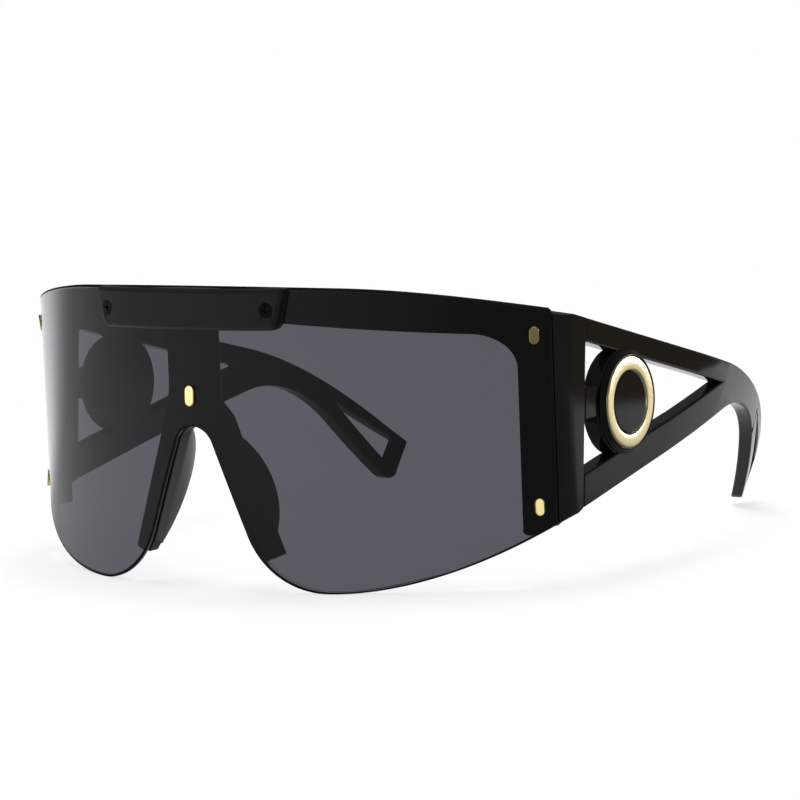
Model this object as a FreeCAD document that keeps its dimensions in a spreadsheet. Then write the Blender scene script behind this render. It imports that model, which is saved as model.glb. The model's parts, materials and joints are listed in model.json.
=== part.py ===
"""Oversized shield sunglasses: one curved lens, a half-rim front and two folding temples.

Millimetres, +Z up, the front facing -Y, the wearer's left at +X. The glasses are open and level, the
two lobes of the lens on the floor and the temple tips just above it. The origin is on the floor, under
the middle of the box around them. Each body is drawn with y counted from the lens's foremost line, then
set back as one.
"""
import FreeCAD
import Part
import math
import os
import Sketcher

Vector = FreeCAD.Vector
Rotation = FreeCAD.Rotation
Placement = FreeCAD.Placement

# Driving dimensions: name, value in millimetres or degrees, meaning
SIZES = (
    ("lens_radius", 93.0, "plan radius of the lens's front face"),
    ("lens_thick", 2.0, "lens wall"),
    ("lens_half_width", 73.0, "middle of the lens to its end, straight across"),
    ("lens_height", 68.0, "floor to the middle of the lens's top edge"),
    ("crown_radius", 800.0, "top edge, middle stretch"),
    ("crown_half", 35.0, "half the length of the middle stretch"),
    ("shoulder_radius", 150.0, "top edge, outer stretches"),
    ("notch_height", 36.7, "floor to the top of the nose notch"),
    ("notch_radius", 5.6, "top of the nose notch"),
    ("lobe_offset", 32.0, "middle to the lowest point of a lobe"),
    ("lobe_radius", 20.0, "inner side of a lobe"),
    ("sweep_radius", 68.0, "outer side of a lobe"),
    ("seat_gap", 0.05, "clearance between seated faces"),
    ("frame_thick", 3.2, "wall of the front frame behind the lens"),
    ("frame_drop", 0.8, "top edge of the lens above that of the frame"),
    ("bar_height", 6.8, "top of the lens to the brow bar's lower edge beside the bridge post"),
    ("bar_slope", 0.095, "fall of that edge for each millimetre outwards"),
    ("panel_width", 6.6, "end of the lens to the inner edge of a side panel"),
    ("panel_corner", 8.0, "corner between brow bar and side panel"),
    ("panel_lift", 0.85, "bottom edge of the lens up to the foot of a side panel"),
    ("panel_foot_run", 2.2, "inner corner of that foot to the start of its rounding"),
    ("panel_tuck", 0.5, "panel's back corner past the wall beside the lens's end"),
    ("post_half", 7.0, "half the width of the bridge post"),
    ("post_wall", 0.8, "side wall of the post in front of its chamfer"),
    ("post_chamfer", 2.3, "what that chamfer takes off the post's back on each side"),
    ("post_run", 4.5, "corner between post and nose leg to the start of its bend"),
    ("leg_width", 5.0, "width of a nose leg at the notch"),
    ("leg_end_width", 4.2, "width of a nose leg at its end"),
    ("leg_end", 7.0, "floor to the inner end of a nose leg"),
    ("leg_length", 28.5, "length of a nose leg's outer edge past the notch"),
    ("end_outset", 2.0, "outer face of an end piece outside the end of the lens"),
    ("end_length", 11.2, "end of the lens back to the top of the temple seam"),
    ("end_gap", 0.15, "clearance between lens end and end piece"),
    ("seam_drop", 10.0, "top of the lens to the top of the temple seam"),
    ("seam_lift", 2.25, "foot of the temple seam above the lowest point of the lens's end"),
    ("seam_lean", 3.7, "how far the seam's foot stands in front of its top"),
    ("seam_gap", 0.15, "clearance between temple and end piece"),
    ("arm_thick", 4.2, "temple wall, and that of the end piece"),
    ("elbow_reach", 90.4, "seam to the elbow where the temple's top edge turns down into the tail"),
    ("elbow_height", 35.0, "floor to that elbow"),
    ("elbow_run", 24.9, "elbow to the start of its bend"),
    ("neck_back", 7.4, "elbow of the bottom edge in front of that of the top edge"),
    ("neck_drop", 1.4, "elbow of the bottom edge below that of the top edge"),
    ("neck_run", 18.4, "elbow of the bottom edge to the start of its bend"),
    ("tail_run", 23.1, "elbow back to the rearmost corner of the tail"),
    ("tail_height", 11.0, "floor to that corner"),
    ("tip_back", 8.7, "that corner forwards to the corner at the tip, which lies at floor height"),
    ("tip_run", 4.0, "that corner to the start of the tip's rounding"),
    ("tail_bend", 140.0, "radius of the tail's turn towards the head, outer face"),
    ("tail_thinning", 7.0, "what the inner face's turn has more than that, to thin the tail"),
    ("tail_bend_start", 43.0, "seam to where that turn starts, at hinge height"),
    ("tail_bend_angle", 40.0, "lean of the turn's axis, degrees"),
    ("boss_top_overlap", 1.15, "top of the medallion boss inside the temple's top bar"),
    ("boss_foot_overlap", 1.9, "foot of the medallion boss inside the temple's bottom bar"),
    ("slot_length", 19.0, "tail's rear corner forwards to the front point of the tail slot"),
    ("slot_height", 13.1, "that point above the tail's rear corner"),
    ("slot_end", 3.1, "tail's rear corner forwards to the slot's upper corner"),
    ("slot_rise", 0.5, "that corner above the tail's rear corner"),
    ("slot_foot", 7.7, "tail's rear corner forwards to the slot's lower corner"),
    ("slot_drop", 5.0, "that corner below the tail's rear corner"),
    ("boss_reach", 15.9, "seam to the medallion's centre"),
    ("boss_rise", 0.5, "medallion's centre above the middle of the seam"),
    ("boss_margin", 0.4, "medallion boss of the temple outside the bezel"),
    ("lug_margin", 0.2, "temple's hinge lug above and below the leaf"),
    ("bezel_rim", 0.35, "rim of the bezel round the ring"),
    ("bezel_step", 0.45, "each step of the bezel, in and up"),
    ("bezel_floor", 0.6, "floor of the bezel under the ring"),
    ("ring_outer", 10.5, "gold ring, outside"),
    ("ring_inner", 7.2, "gold ring, inside"),
    ("ring_height", 0.75, "gold ring, floor of the bezel to its crest"),
    ("ring_crown", 0.12, "gold ring, crest above its two edges"),
    ("centre_rim", 0.55, "medallion centre, height at its rim"),
    ("centre_dome", 0.1, "medallion centre, crest above its rim"),
    ("plate_thick", 3.0, "brow plate"),
    ("plate_upper_length", 52.0, "brow plate along its top"),
    ("plate_lower_length", 47.8, "brow plate along its foot"),
    ("plate_inset", 0.4, "top of the lens to the brow plate's top edge"),
    ("plate_height", 9.1, "brow plate, top to foot"),
    ("plate_bevel", 0.7, "bevel round the brow plate's face"),
    ("plate_corner_run", 1.4, "lower corner of the brow plate to the start of its rounding"),
    ("brow_screw_inset", 4.5, "upper end of the brow plate to a brow screw"),
    ("brow_head_radius", 1.5, "head of a brow screw"),
    ("brow_head_height", 1.0, "head of a brow screw"),
    ("brow_shank_radius", 0.7, "shank of a brow screw"),
    ("screw_bite", 2.2, "length of a brow screw or lens pin in the frame"),
    ("pin_inset", 2.7, "end of the lens to an outer lens pin, straight across"),
    ("pin_drop", 12.6, "top of the lens to an upper lens pin"),
    ("pin_lift", 5.8, "bottom edge of the lens up to a lower lens pin"),
    ("pin_bridge_rise", 6.9, "top of the notch to the bridge pin"),
    ("pin_head_width", 2.6, "oblong head of the bridge pin"),
    ("pin_head_length", 4.8, "oblong head of the bridge pin"),
    ("side_head_width", 2.25, "oblong head of an outer lens pin"),
    ("side_head_length", 4.0, "oblong head of an outer lens pin"),
    ("pin_head_height", 0.6, "oblong head of a lens pin"),
    ("pin_shank_radius", 0.8, "shank of a lens pin"),
    ("pad_length", 30.0, "nose pad along its leg"),
    ("pad_depth", 8.5, "bulge of a nose pad's rear edge"),
    ("pad_start", 3.0, "top of the notch's straight side back up to the pad's end"),
    ("pad_thick", 2.0, "nose pad"),
    ("pad_flare_angle", 12.5, "turn of a nose pad away from the nose, degrees"),
    ("hinge_rise", 1.5, "middle of a hinge above the medallion's centre"),
    ("hinge_offset", 1.85, "hinge axis inside the temple's inner face"),
    ("barrel_radius", 1.5, "hinge knuckle"),
    ("barrel_half", 3.0, "half the height of the three knuckles"),
    ("knuckle_half", 0.95, "half the height of the middle knuckle"),
    ("knuckle_gap", 0.1, "clearance between knuckles"),
    ("leaf_thick", 1.05, "hinge leaf"),
    ("leaf_margin", 0.45, "edge of a leaf round its rivet heads"),
    ("leaf_gap", 0.4, "clearance between a leaf's edge and the knuckles of the other"),
    ("leaf_wall_gap", 0.3, "front leaf's edge to where the end piece's inner wall turns in"),
    ("hinge_shank_radius", 0.7, "shank of the hinge screw"),
    ("hinge_head_radius", 1.3, "head of the hinge screw"),
    ("hinge_head_height", 0.7, "head of the hinge screw"),
    ("running_gap", 0.05, "hinge screw in the knuckles, on the radius"),
    ("rivet_radius", 0.55, "shank of a rivet"),
    ("rivet_head_radius", 0.95, "head of a rivet"),
    ("rivet_head_height", 0.35, "head of a rivet"),
    ("rivet_bite", 2.0, "length of a rivet in the plastic"),
    ("rivet_pitch", 4.0, "distance between the two rivets of a leaf"),
    ("drive_depth", 0.5, "depth of a screw head's slot or cross"),
    ("drive_width", 0.35, "width of a screw head's slot or cross"),
)

# Reach of the cuts that trim a blank, past anything on the glasses
FAR = 200.0

doc = FreeCAD.newDocument("sunglasses")


class Size:
    """A worked-out size: its value now, and the sheet expression that gives it."""

    def __init__(self, value, text):
        self.value = value
        self.text = text

    def __add__(self, other):
        other = as_size(other)
        return Size(self.value + other.value, f"({self.text} + {other.text})")

    def __sub__(self, other):
        other = as_size(other)
        return Size(self.value - other.value, f"({self.text} - {other.text})")

    def __mul__(self, other):
        other = as_size(other)
        return Size(self.value * other.value, f"{self.text} * {other.text}")

    def __truediv__(self, other):
        other = as_size(other)
        return Size(self.value / other.value, f"({self.text}) / ({other.text})")

    def __neg__(self):
        return self * -1.0

    def __radd__(self, other):
        return as_size(other) + self

    def __rsub__(self, other):
        return as_size(other) - self

    def __rmul__(self, other):
        return as_size(other) * self


def as_size(number):
    """A plain number as a Size that stands for itself."""
    if isinstance(number, Size):
        return number
    return Size(float(number), f"({float(number):.6f})")


def root(a):
    return Size(math.sqrt(a.value), f"sqrt({a.text})")


def sine(a):
    return Size(math.sin(math.radians(a.value)), f"sin({a.text})")


def cosine(a):
    return Size(math.cos(math.radians(a.value)), f"cos({a.text})")


class Sheet:
    """The spreadsheet of driving dimensions, and a second one for what is worked out from them."""

    def __init__(self):
        self.driving = doc.addObject("Spreadsheet::Sheet", "Sizes")
        self.worked = doc.addObject("Spreadsheet::Sheet", "Worked")
        self.count = 0
        for row, (name, value, meaning) in enumerate(SIZES, 1):
            self.driving.set(f"A{row}", meaning)
            self.driving.set(f"B{row}", str(value))
            self.driving.setAlias(f"B{row}", name)
            setattr(self, name, Size(value, f"Sizes.{name}"))
        doc.recompute()

    def keep(self, name, size):
        """Stores a worked-out size under a name of its own, so that later ones stay short."""
        self.count += 1
        self.worked.set(f"A{self.count}", name)
        self.worked.set(f"B{self.count}", f"={size.text}")
        self.worked.setAlias(f"B{self.count}", name)
        kept = Size(size.value, f"Worked.{name}")
        setattr(self, name, kept)
        return kept


S = Sheet()


def work_out_lens_sizes():
    """Ends of the lens, the frame's two radii, and the tangent points of the lens's outline."""
    S.keep("end_sine", S.lens_half_width / S.lens_radius)
    S.keep("end_cosine", root(1 - S.end_sine * S.end_sine))
    S.keep("lens_end_y", S.lens_radius - S.lens_radius * S.end_cosine)
    S.keep("frame_front", S.lens_radius - S.lens_thick - S.seat_gap)
    S.keep("frame_back", S.frame_front - S.frame_thick)
    # Top edge: drop of the crown at its ends, and its slope there
    S.keep("crown_drop", S.crown_radius - root(S.crown_radius * S.crown_radius - S.crown_half * S.crown_half))
    S.keep("crown_sine", S.crown_half / S.crown_radius)
    # Straight side of the notch: the inner common tangent of the notch and lobe circles
    across = S.lobe_offset
    down = S.notch_height - S.notch_radius - S.lobe_radius
    span = S.keep("notch_span", root(across * across + down * down))
    lean = S.keep("notch_lean", (S.notch_radius + S.lobe_radius) / span)
    rest = S.keep("notch_rest", root(1 - lean * lean))
    S.keep("side_x", (across * rest - down * lean) / span)
    S.keep("side_z", (down * rest + across * lean) / span)
    # Pieces that hang from the lens's top edge or its ends
    S.keep("pin_out", S.lens_half_width - S.pin_inset)
    S.keep("pin_upper", S.lens_height - S.pin_drop)
    S.keep("pin_lower", sweep_height(S.pin_out) + S.pin_lift)
    S.keep("lens_end_foot", sweep_height(S.lens_half_width))
    S.keep("pin_bridge", S.notch_height + S.pin_bridge_rise)
    S.keep("plate_top", S.lens_height - S.plate_inset)
    S.keep("plate_foot", S.plate_top - S.plate_height)
    S.keep("bar_foot", S.lens_height - S.bar_height)
    # Outer edge of a nose leg, from the notch's height to its end, and where it meets the post
    notch_x, notch_z = notch_corner()
    S.keep("leg_x", notch_x + S.leg_width * S.side_z)
    S.keep("leg_z", notch_z + S.leg_width * S.side_x)
    S.keep("leg_tip_x", notch_x + S.leg_length * S.side_x + S.leg_end_width * S.side_z)
    S.keep("leg_tip_z", notch_z - S.leg_length * S.side_z + S.leg_end_width * S.side_x)
    S.keep("leg_slope", (S.leg_z - S.leg_tip_z) / (S.leg_tip_x - S.leg_x))
    S.keep("post_foot", S.leg_z + (S.leg_x - S.post_half) * S.leg_slope)
    # Where the wall behind the lens ends against the end piece
    S.keep("wall_lean", (S.lens_half_width + S.end_gap) / S.lens_radius)
    S.keep("wall_rise", root(1 - S.wall_lean * S.wall_lean))
    S.keep("wall_end_x", S.frame_front * S.wall_lean)
    S.keep("wall_end_y", S.lens_radius - S.frame_front * S.wall_rise)


def work_out_temple_sizes():
    """Seam, elbows, tail, medallion and hinge axis of the temples, and the glasses' set-back."""
    S.keep("front_half", S.lens_half_width + S.end_outset)
    S.keep("inner_face", S.front_half - S.arm_thick)
    S.keep("seam_y", S.lens_end_y + S.end_length)
    S.keep("seam_top", S.lens_height - S.seam_drop)
    S.keep("seam_foot", S.lens_end_foot + S.seam_lift)
    S.keep("seam_slope", S.seam_lean / (S.seam_top - S.seam_foot))
    S.keep("top_slope", (S.seam_top - S.elbow_height) / S.elbow_reach)
    neck_reach = S.elbow_reach - S.neck_back + S.seam_lean
    S.keep("foot_slope", (S.elbow_height - S.neck_drop - S.seam_foot) / neck_reach)
    S.keep("tail_y", S.seam_y + S.elbow_reach + S.tail_run)
    S.keep("set_back", (S.tail_y - S.seat_gap - S.plate_thick) / 2)
    # Medallion: the bezel round the ring, and the boss under it
    S.keep("bezel_radius", S.ring_outer + S.seat_gap + S.bezel_rim + 2 * S.bezel_step)
    S.keep("boss_radius", S.bezel_radius + S.boss_margin)
    S.keep("boss_up", (S.seam_top + S.seam_foot) / 2 + S.boss_rise)
    # Hinge axis, on the seam at hinge height, inside the temple's inner face
    S.keep("hinge_up", S.boss_up + S.hinge_rise)
    S.keep("hinge_x", S.inner_face - S.hinge_offset)
    S.keep("hinge_y", S.seam_y - (S.seam_top - S.hinge_up) * S.seam_slope)
    S.keep("leaf_face", S.inner_face - S.seat_gap)
    S.keep("leaf_half", S.rivet_pitch / 2 + S.rivet_head_radius + S.leaf_margin)
    S.keep("leaf_front", 2 * S.rivet_head_radius + 2 * S.leaf_margin)
    S.keep("leaf_rear", S.leaf_front + S.rivet_pitch)
    S.keep("leaf_clear", S.barrel_radius + S.leaf_gap)
    S.keep("lug_half", S.leaf_half + S.lug_margin)
    S.keep("end_wall", S.hinge_y - S.leaf_clear - S.leaf_front - S.leaf_wall_gap)
    doc.recompute()


def bind(obj, **sizes):
    """Ties properties to sheet expressions; a double underscore stands for a dot."""
    for name, size in sizes.items():
        obj.setExpression(name.replace("__", "."), as_size(size).text)


def new_body(label):
    """A body drawn from the lens's front, set back so that the origin is under the middle."""
    body = doc.addObject("PartDesign::Body", label)
    body.Label = label
    bind(body, Placement__Base__y=-S.set_back)
    return body


def place(body, x, y, z, rotation):
    """Sets a body drawn round its own origin at a point counted from the lens's front."""
    body.Placement = Placement(Vector(x.value, y.value - S.set_back.value, z.value), rotation)
    bind(body, Placement__Base__x=x, Placement__Base__y=y - S.set_back, Placement__Base__z=z)


def new_sketch(body, name, plane, offset=None):
    """A sketch on one of the body's origin planes, shifted or turned by offset."""
    sketch = body.newObject("Sketcher::SketchObject", name)
    support = [f for f in body.Origin.OriginFeatures if f.Role == plane][0]
    sketch.AttachmentSupport = [(support, "")]
    sketch.MapMode = "FlatFace"
    if offset is not None:
        sketch.AttachmentOffset = offset
    return sketch


def arc_between(start, end, radius):
    """Arc under a half turn; it bulges to the right of start-to-end if radius is positive, else left."""
    chord = end - start
    half = chord.Length / 2
    left = Vector(-chord.y, chord.x, 0).normalize()
    reach = math.sqrt(max(radius * radius - half * half, 0.0))
    centre = (start + end) / 2 + left * math.copysign(reach, radius)
    first, last = (start, end) if radius > 0 else (end, start)
    begin = math.atan2(first.y - centre.y, first.x - centre.x)
    finish = math.atan2(last.y - centre.y, last.x - centre.x)
    circle = Part.Circle(centre, Vector(0, 0, 1), abs(radius))
    return Part.ArcOfCircle(circle, begin, finish)


def fix_point(sketch, geometry, corner, x, y):
    """Pins one end of a line or arc, or a centre, to sizes from the sheet."""
    for kind, size in (("DistanceX", x), ("DistanceY", y)):
        size = as_size(size)
        row = sketch.addConstraint(Sketcher.Constraint(kind, -1, 1, geometry, corner, size.value))
        sketch.setExpression(f"Constraints[{row}]", size.text)


def draw_outline(sketch, corners):
    """Closed outline. A corner is (x, y) or (x, y, radius); the radius makes the stretch after it an arc."""
    corners = [tuple(as_size(c) for c in corner) for corner in corners]
    points = [Vector(c[0].value, c[1].value, 0) for c in corners]
    starts, ends = [], []
    for i, corner in enumerate(corners):
        start, end = points[i], points[(i + 1) % len(points)]
        if len(corner) == 2:
            row = sketch.addGeometry(Part.LineSegment(start, end), False)
            starts.append((row, 1))
            ends.append((row, 2))
            continue
        row = sketch.addGeometry(arc_between(start, end, corner[2].value), False)
        forward = corner[2].value > 0
        starts.append((row, 1 if forward else 2))
        ends.append((row, 2 if forward else 1))
        radius = corner[2] if forward else -corner[2]
        rule = sketch.addConstraint(Sketcher.Constraint("Radius", row, radius.value))
        sketch.setExpression(f"Constraints[{rule}]", radius.text)
    for i, corner in enumerate(corners):
        sketch.addConstraint(Sketcher.Constraint("Coincident", *ends[i - 1], *starts[i]))
        fix_point(sketch, *starts[i], corner[0], corner[1])


def draw_circle(sketch, x, y, radius):
    x, y, radius = as_size(x), as_size(y), as_size(radius)
    circle = Part.Circle(Vector(x.value, y.value, 0), Vector(0, 0, 1), radius.value)
    row = sketch.addGeometry(circle, False)
    rule = sketch.addConstraint(Sketcher.Constraint("Radius", row, radius.value))
    sketch.setExpression(f"Constraints[{rule}]", radius.text)
    fix_point(sketch, row, 3, x, y)


def draw_frame_round(sketch, corners):
    """The region between a far rectangle and an outline, for trimming a blank to that outline."""
    draw_outline(sketch, bar_outline(as_size(2 * FAR), as_size(2 * FAR)))
    draw_outline(sketch, corners)


def pad(body, sketch, length, both_ways=False, reverse=False):
    feature = body.newObject("PartDesign::Pad", sketch.Name + "_pad")
    feature.Profile = sketch
    feature.SideType = "Symmetric" if both_ways else "One side"
    feature.Reversed = reverse
    bind(feature, Length=length)
    doc.recompute()
    return feature


def cut_through(body, sketch):
    """Pocket right through the body, both ways from the sketch's plane."""
    before = body.Shape.Volume
    feature = body.newObject("PartDesign::Pocket", sketch.Name + "_cut")
    feature.Profile = sketch
    feature.Type = "Length"
    feature.SideType = "Symmetric"
    bind(feature, Length=2 * FAR)
    doc.recompute()
    if not body.Shape.Volume < before:
        raise RuntimeError(f"{sketch.Name} cut nothing")
    return feature


def turn(body, sketch):
    """Full revolution of a sketch on the XZ plane about the vertical."""
    feature = body.newObject("PartDesign::Revolution", sketch.Name + "_turn")
    feature.Profile = sketch
    feature.ReferenceAxis = (sketch, ["V_Axis"])
    feature.Angle = 360
    doc.recompute()
    return feature


def bore(body, name, radius, length, foot, direction):
    """Round hole from foot (a point of three sizes) along direction."""
    before = body.Shape.Volume
    hole = body.newObject("PartDesign::SubtractiveCylinder", name)
    x, y, z = (as_size(c) for c in foot)
    hole.Placement = Placement(Vector(x.value, y.value, z.value), Rotation(Vector(0, 0, 1), direction))
    bind(hole, Radius=radius, Height=length)
    bind(hole, Placement__Base__x=x, Placement__Base__y=y, Placement__Base__z=z)
    doc.recompute()
    if not body.Shape.Volume < before:
        raise RuntimeError(f"{name} bored nothing")


def out_from_lens(x, z, depth):
    """Point at depth inside the lens's front face, at x across and z up, and the outward direction there."""
    x = as_size(x)
    lean = x / S.lens_radius
    straight = root(1 - lean * lean)
    radius = S.lens_radius - depth
    point = (radius * lean, S.lens_radius - radius * straight, as_size(z))
    return point, Vector(lean.value, -straight.value, 0)


def band_outline(outer, inner, half_width):
    """Plan of a wall between two radii about the lens's centre, cut off square to itself at half_width."""
    lean = half_width / outer
    rise = root(1 - lean * lean)
    y_outer = S.lens_radius - outer * rise
    y_inner = S.lens_radius - inner * rise
    return [
        (-half_width, y_outer, outer),
        (half_width, y_outer),
        (inner * lean, y_inner, -inner),
        (-inner * lean, y_inner),
    ]


def top_edge(half_width, drop):
    """Top edge of the lens, or of the frame a little lower, from right to left: shoulder, crown, shoulder."""
    shoulder = S.shoulder_radius
    crown_z = S.lens_height - drop - S.crown_drop
    centre_x = S.crown_half - shoulder * S.crown_sine
    centre_z = crown_z - shoulder * root(1 - S.crown_sine * S.crown_sine)
    reach = half_width - centre_x
    end_z = centre_z + root(shoulder * shoulder - reach * reach)
    return end_z, [
        (half_width, end_z, shoulder),
        (S.crown_half, crown_z, S.crown_radius),
        (-S.crown_half, crown_z, shoulder),
        (-half_width, end_z),
    ]


def sweep_height(x):
    """Height of the lens's bottom edge outside the lowest point of a lobe."""
    run = x - S.lobe_offset
    return S.sweep_radius - root(S.sweep_radius * S.sweep_radius - run * run)


def notch_corner():
    """Where the notch's round top meets its straight side, on the right."""
    return S.notch_radius * S.side_z, S.notch_height - S.notch_radius + S.notch_radius * S.side_x


def lobe_corner():
    """Where the notch's straight side meets the lobe, on the right."""
    return S.lobe_offset - S.lobe_radius * S.side_z, S.lobe_radius - S.lobe_radius * S.side_x


def lens_outline():
    """Front view of the lens; its ends run past the wall's own ends."""
    half = S.front_half
    end_z, top = top_edge(half, 0)
    notch_x, notch_z = notch_corner()
    lobe_x, lobe_z = lobe_corner()
    return top + [
        (-half, sweep_height(half), S.sweep_radius),
        (-S.lobe_offset, 0, S.lobe_radius),
        (-lobe_x, lobe_z),
        (-notch_x, notch_z, -S.notch_radius),
        (notch_x, notch_z),
        (lobe_x, lobe_z, S.lobe_radius),
        (S.lobe_offset, 0, S.sweep_radius),
        (half, sweep_height(half)),
    ]


def pin_places():
    """Name, x and z of each lens pin."""
    return (
        ("lens_pin_bridge", as_size(0), S.pin_bridge),
        ("lens_pin_upper_left", S.pin_out, S.pin_upper),
        ("lens_pin_lower_left", S.pin_out, S.pin_lower),
        ("lens_pin_upper_right", -S.pin_out, S.pin_upper),
        ("lens_pin_lower_right", -S.pin_out, S.pin_lower),
    )


def screw_places():
    """Name, x and z of each brow screw."""
    out = S.plate_upper_length / 2 - S.brow_screw_inset
    up = (S.plate_top + S.plate_foot) / 2
    return (
        ("brow_screw_left", out, up),
        ("brow_screw_right", -out, up),
    )


def bore_for_fixings(body, names, radius_of, start, length):
    """Radial holes for the named pins and screws, from start inside the lens's front, inwards."""
    for name, x, z in pin_places() + screw_places():
        if name in names:
            foot, outward = out_from_lens(x, z, start)
            bore(body, name + "_hole", radius_of(name), length, foot, outward * -1)


def shank_hole(name):
    shank = S.pin_shank_radius if "pin" in name else S.brow_shank_radius
    return shank + S.seat_gap


def every_fixing():
    return [name for name, x, z in pin_places() + screw_places()]


def make_lens():
    body = new_body("shield_lens")
    plan = new_sketch(body, "lens_plan", "XY_Plane")
    draw_outline(plan, band_outline(S.lens_radius, S.lens_radius - S.lens_thick, S.lens_half_width))
    pad(body, plan, S.lens_height)
    front = new_sketch(body, "lens_front", "XZ_Plane")
    draw_frame_round(front, lens_outline())
    cut_through(body, front)
    bore_for_fixings(body, every_fixing(), shank_hole, -1 * S.lens_thick, 3 * S.lens_thick)
    return body


def frame_plan():
    """Plan of the front frame: the wall behind the lens, and the end pieces round the lens's ends."""
    front, back = S.frame_front, S.frame_back
    flush_x, flush_y = S.lens_radius * S.wall_lean, S.lens_radius - S.lens_radius * S.wall_rise
    turn_radius = (S.front_half - flush_x) / (1 - S.wall_lean)
    turn_y = flush_y + turn_radius * S.wall_rise
    rear = S.seam_y + S.seam_lean
    wall_x = S.inner_face - S.arm_thick
    wall_y = S.lens_radius - root(back * back - wall_x * wall_x)
    half = [
        (S.wall_end_x, S.wall_end_y),
        (flush_x, flush_y, turn_radius),
        (S.front_half, turn_y),
        (S.front_half, rear),
        (S.inner_face, rear),
        (S.inner_face, S.end_wall),
    ]
    mirrored = [
        (-S.inner_face, S.end_wall),
        (-S.inner_face, rear),
        (-S.front_half, rear),
        (-S.front_half, turn_y, turn_radius),
        (-flush_x, flush_y),
        (-S.wall_end_x, S.wall_end_y, front),
    ]
    return half + [(wall_x, wall_y, -back), (-wall_x, wall_y)] + mirrored


def frame_outline():
    """Front view of the frame: brow bar, side panels open below, bridge post and nose legs."""
    reach = S.front_half + S.arm_thick
    end_z, top = top_edge(S.front_half, S.frame_drop)
    edge, round_ = S.lens_half_width - S.panel_width, S.panel_corner
    # Corner between brow bar and side panel, whose bar side falls outwards
    fall_length = root(1 + S.bar_slope * S.bar_slope)
    corner_z = S.bar_foot - S.bar_slope * (edge - S.post_half)
    run = round_ * (fall_length - S.bar_slope)
    bar_x = edge - run / fall_length
    bar_z = corner_z + S.bar_slope * run / fall_length
    # Foot of a side panel, which follows the lens's bottom edge, and its rounded inner corner
    panel_top = (edge, corner_z - run)
    panel_end = (S.wall_end_x, sweep_height(S.wall_end_x) + S.panel_lift)
    panel_foot = (edge, sweep_height(edge) + S.panel_lift)
    foot_a, foot_b, foot_radius = bend_corner(panel_top, panel_foot, panel_end, S.panel_foot_run)
    notch_x, notch_z = notch_corner()
    lobe_x, lobe_z = lobe_corner()
    # Nose leg, whose outer edge bends into the post
    leg_tip = (S.leg_tip_x, S.leg_tip_z)
    post_top = (S.post_half, S.bar_foot)
    bend_a, bend_b, bend_radius = bend_corner(leg_tip, (S.post_half, S.post_foot), post_top, S.post_run)
    above = S.lobe_radius - S.leg_end
    end_x = S.lobe_offset - root(S.lobe_radius * S.lobe_radius - above * above)
    right = [
        (notch_x, notch_z),
        (lobe_x, lobe_z, S.lobe_radius),
        (end_x, S.leg_end),
        leg_tip,
        (*bend_a, -bend_radius),
        bend_b,
        post_top,
        (bar_x, bar_z, -round_),
        panel_top,
        (*foot_a, foot_radius),
        (*foot_b, S.sweep_radius),
        panel_end,
        (S.wall_end_x, sweep_height(S.wall_end_x), S.sweep_radius),
        (S.front_half, sweep_height(S.front_half)),
        (reach, sweep_height(S.front_half)),
        (reach, end_z),
    ]
    left = mirror_outline(right)[:-1] + [(-notch_x, notch_z, -S.notch_radius)]
    return top + left + right


def end_trim_outline():
    """Side view of what is cut off the end pieces: above, below and behind them."""
    lens_end = S.lens_end_y
    return [
        (lens_end, FAR),
        (lens_end, S.seam_top + S.top_slope * (S.seam_y - lens_end)),
        (S.seam_y, S.seam_top),
        (S.seam_y - S.seam_lean, S.seam_foot),
        (S.wall_end_y + S.panel_tuck, S.lens_end_foot),
        (S.wall_end_y + S.panel_tuck, -FAR),
        (FAR, -FAR),
        (FAR, FAR),
    ]


def front_rivet_places(side):
    """Points on the end piece's inner wall where the front leaf's rivets go in."""
    y = S.hinge_y - S.leaf_clear - S.leaf_front / 2
    return [(side * S.inner_face, y, S.hinge_up + S.rivet_pitch * k) for k in (-0.5, 0.5)]


def temple_rivet_places(side):
    """Points on the temple's inner face where the temple leaf's rivets go in."""
    middle = S.hinge_y + S.leaf_clear + S.leaf_rear / 2
    return [(side * S.inner_face, middle + S.rivet_pitch * k, S.hinge_up) for k in (-0.5, 0.5)]


def post_knife(shift):
    """Plan of what is cut off behind one side of the post, moved outwards: its long side is the chamfer."""
    front = S.lens_radius - root(S.frame_front * S.frame_front - S.post_half * S.post_half)
    back = S.lens_radius - root(S.frame_back * S.frame_back - S.post_half * S.post_half)
    deep = back - front - S.post_wall
    outer, inner = S.post_half + S.post_chamfer + shift, S.post_half - 2 * S.post_chamfer + shift
    return [(outer, back - 2 * deep), (outer, back + deep), (inner, back + deep)]


def chamfer_post(body, side, tag):
    """Chamfer behind one side of the post, from the brow bar down; it runs out on the nose leg."""
    away = S.leg_x - S.post_half + 2 * S.post_chamfer
    levels = [
        (S.bar_foot - S.bar_slope * S.post_chamfer, as_size(0)),
        (S.post_foot, as_size(0)),
        (S.leg_z, away),
    ]
    sections = []
    for n, (level, shift) in enumerate(levels):
        plane = Placement(Vector(0, 0, level.value), Rotation())
        section = new_sketch(body, f"post_knife_{tag}_{n}", "XY_Plane", plane)
        bind(section, AttachmentOffset__Base__z=level)
        corners = post_knife(shift)
        draw_outline(section, corners if side > 0 else mirror_outline(corners))
        sections.append(section)
    before = body.Shape.Volume
    knife = body.newObject("PartDesign::SubtractiveLoft", "post_chamfer_" + tag)
    knife.Profile = sections[0]
    knife.Sections = sections[1:]
    knife.Ruled = True
    doc.recompute()
    if not body.Shape.Volume < before:
        raise RuntimeError(f"post_chamfer_{tag} cut nothing")


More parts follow.
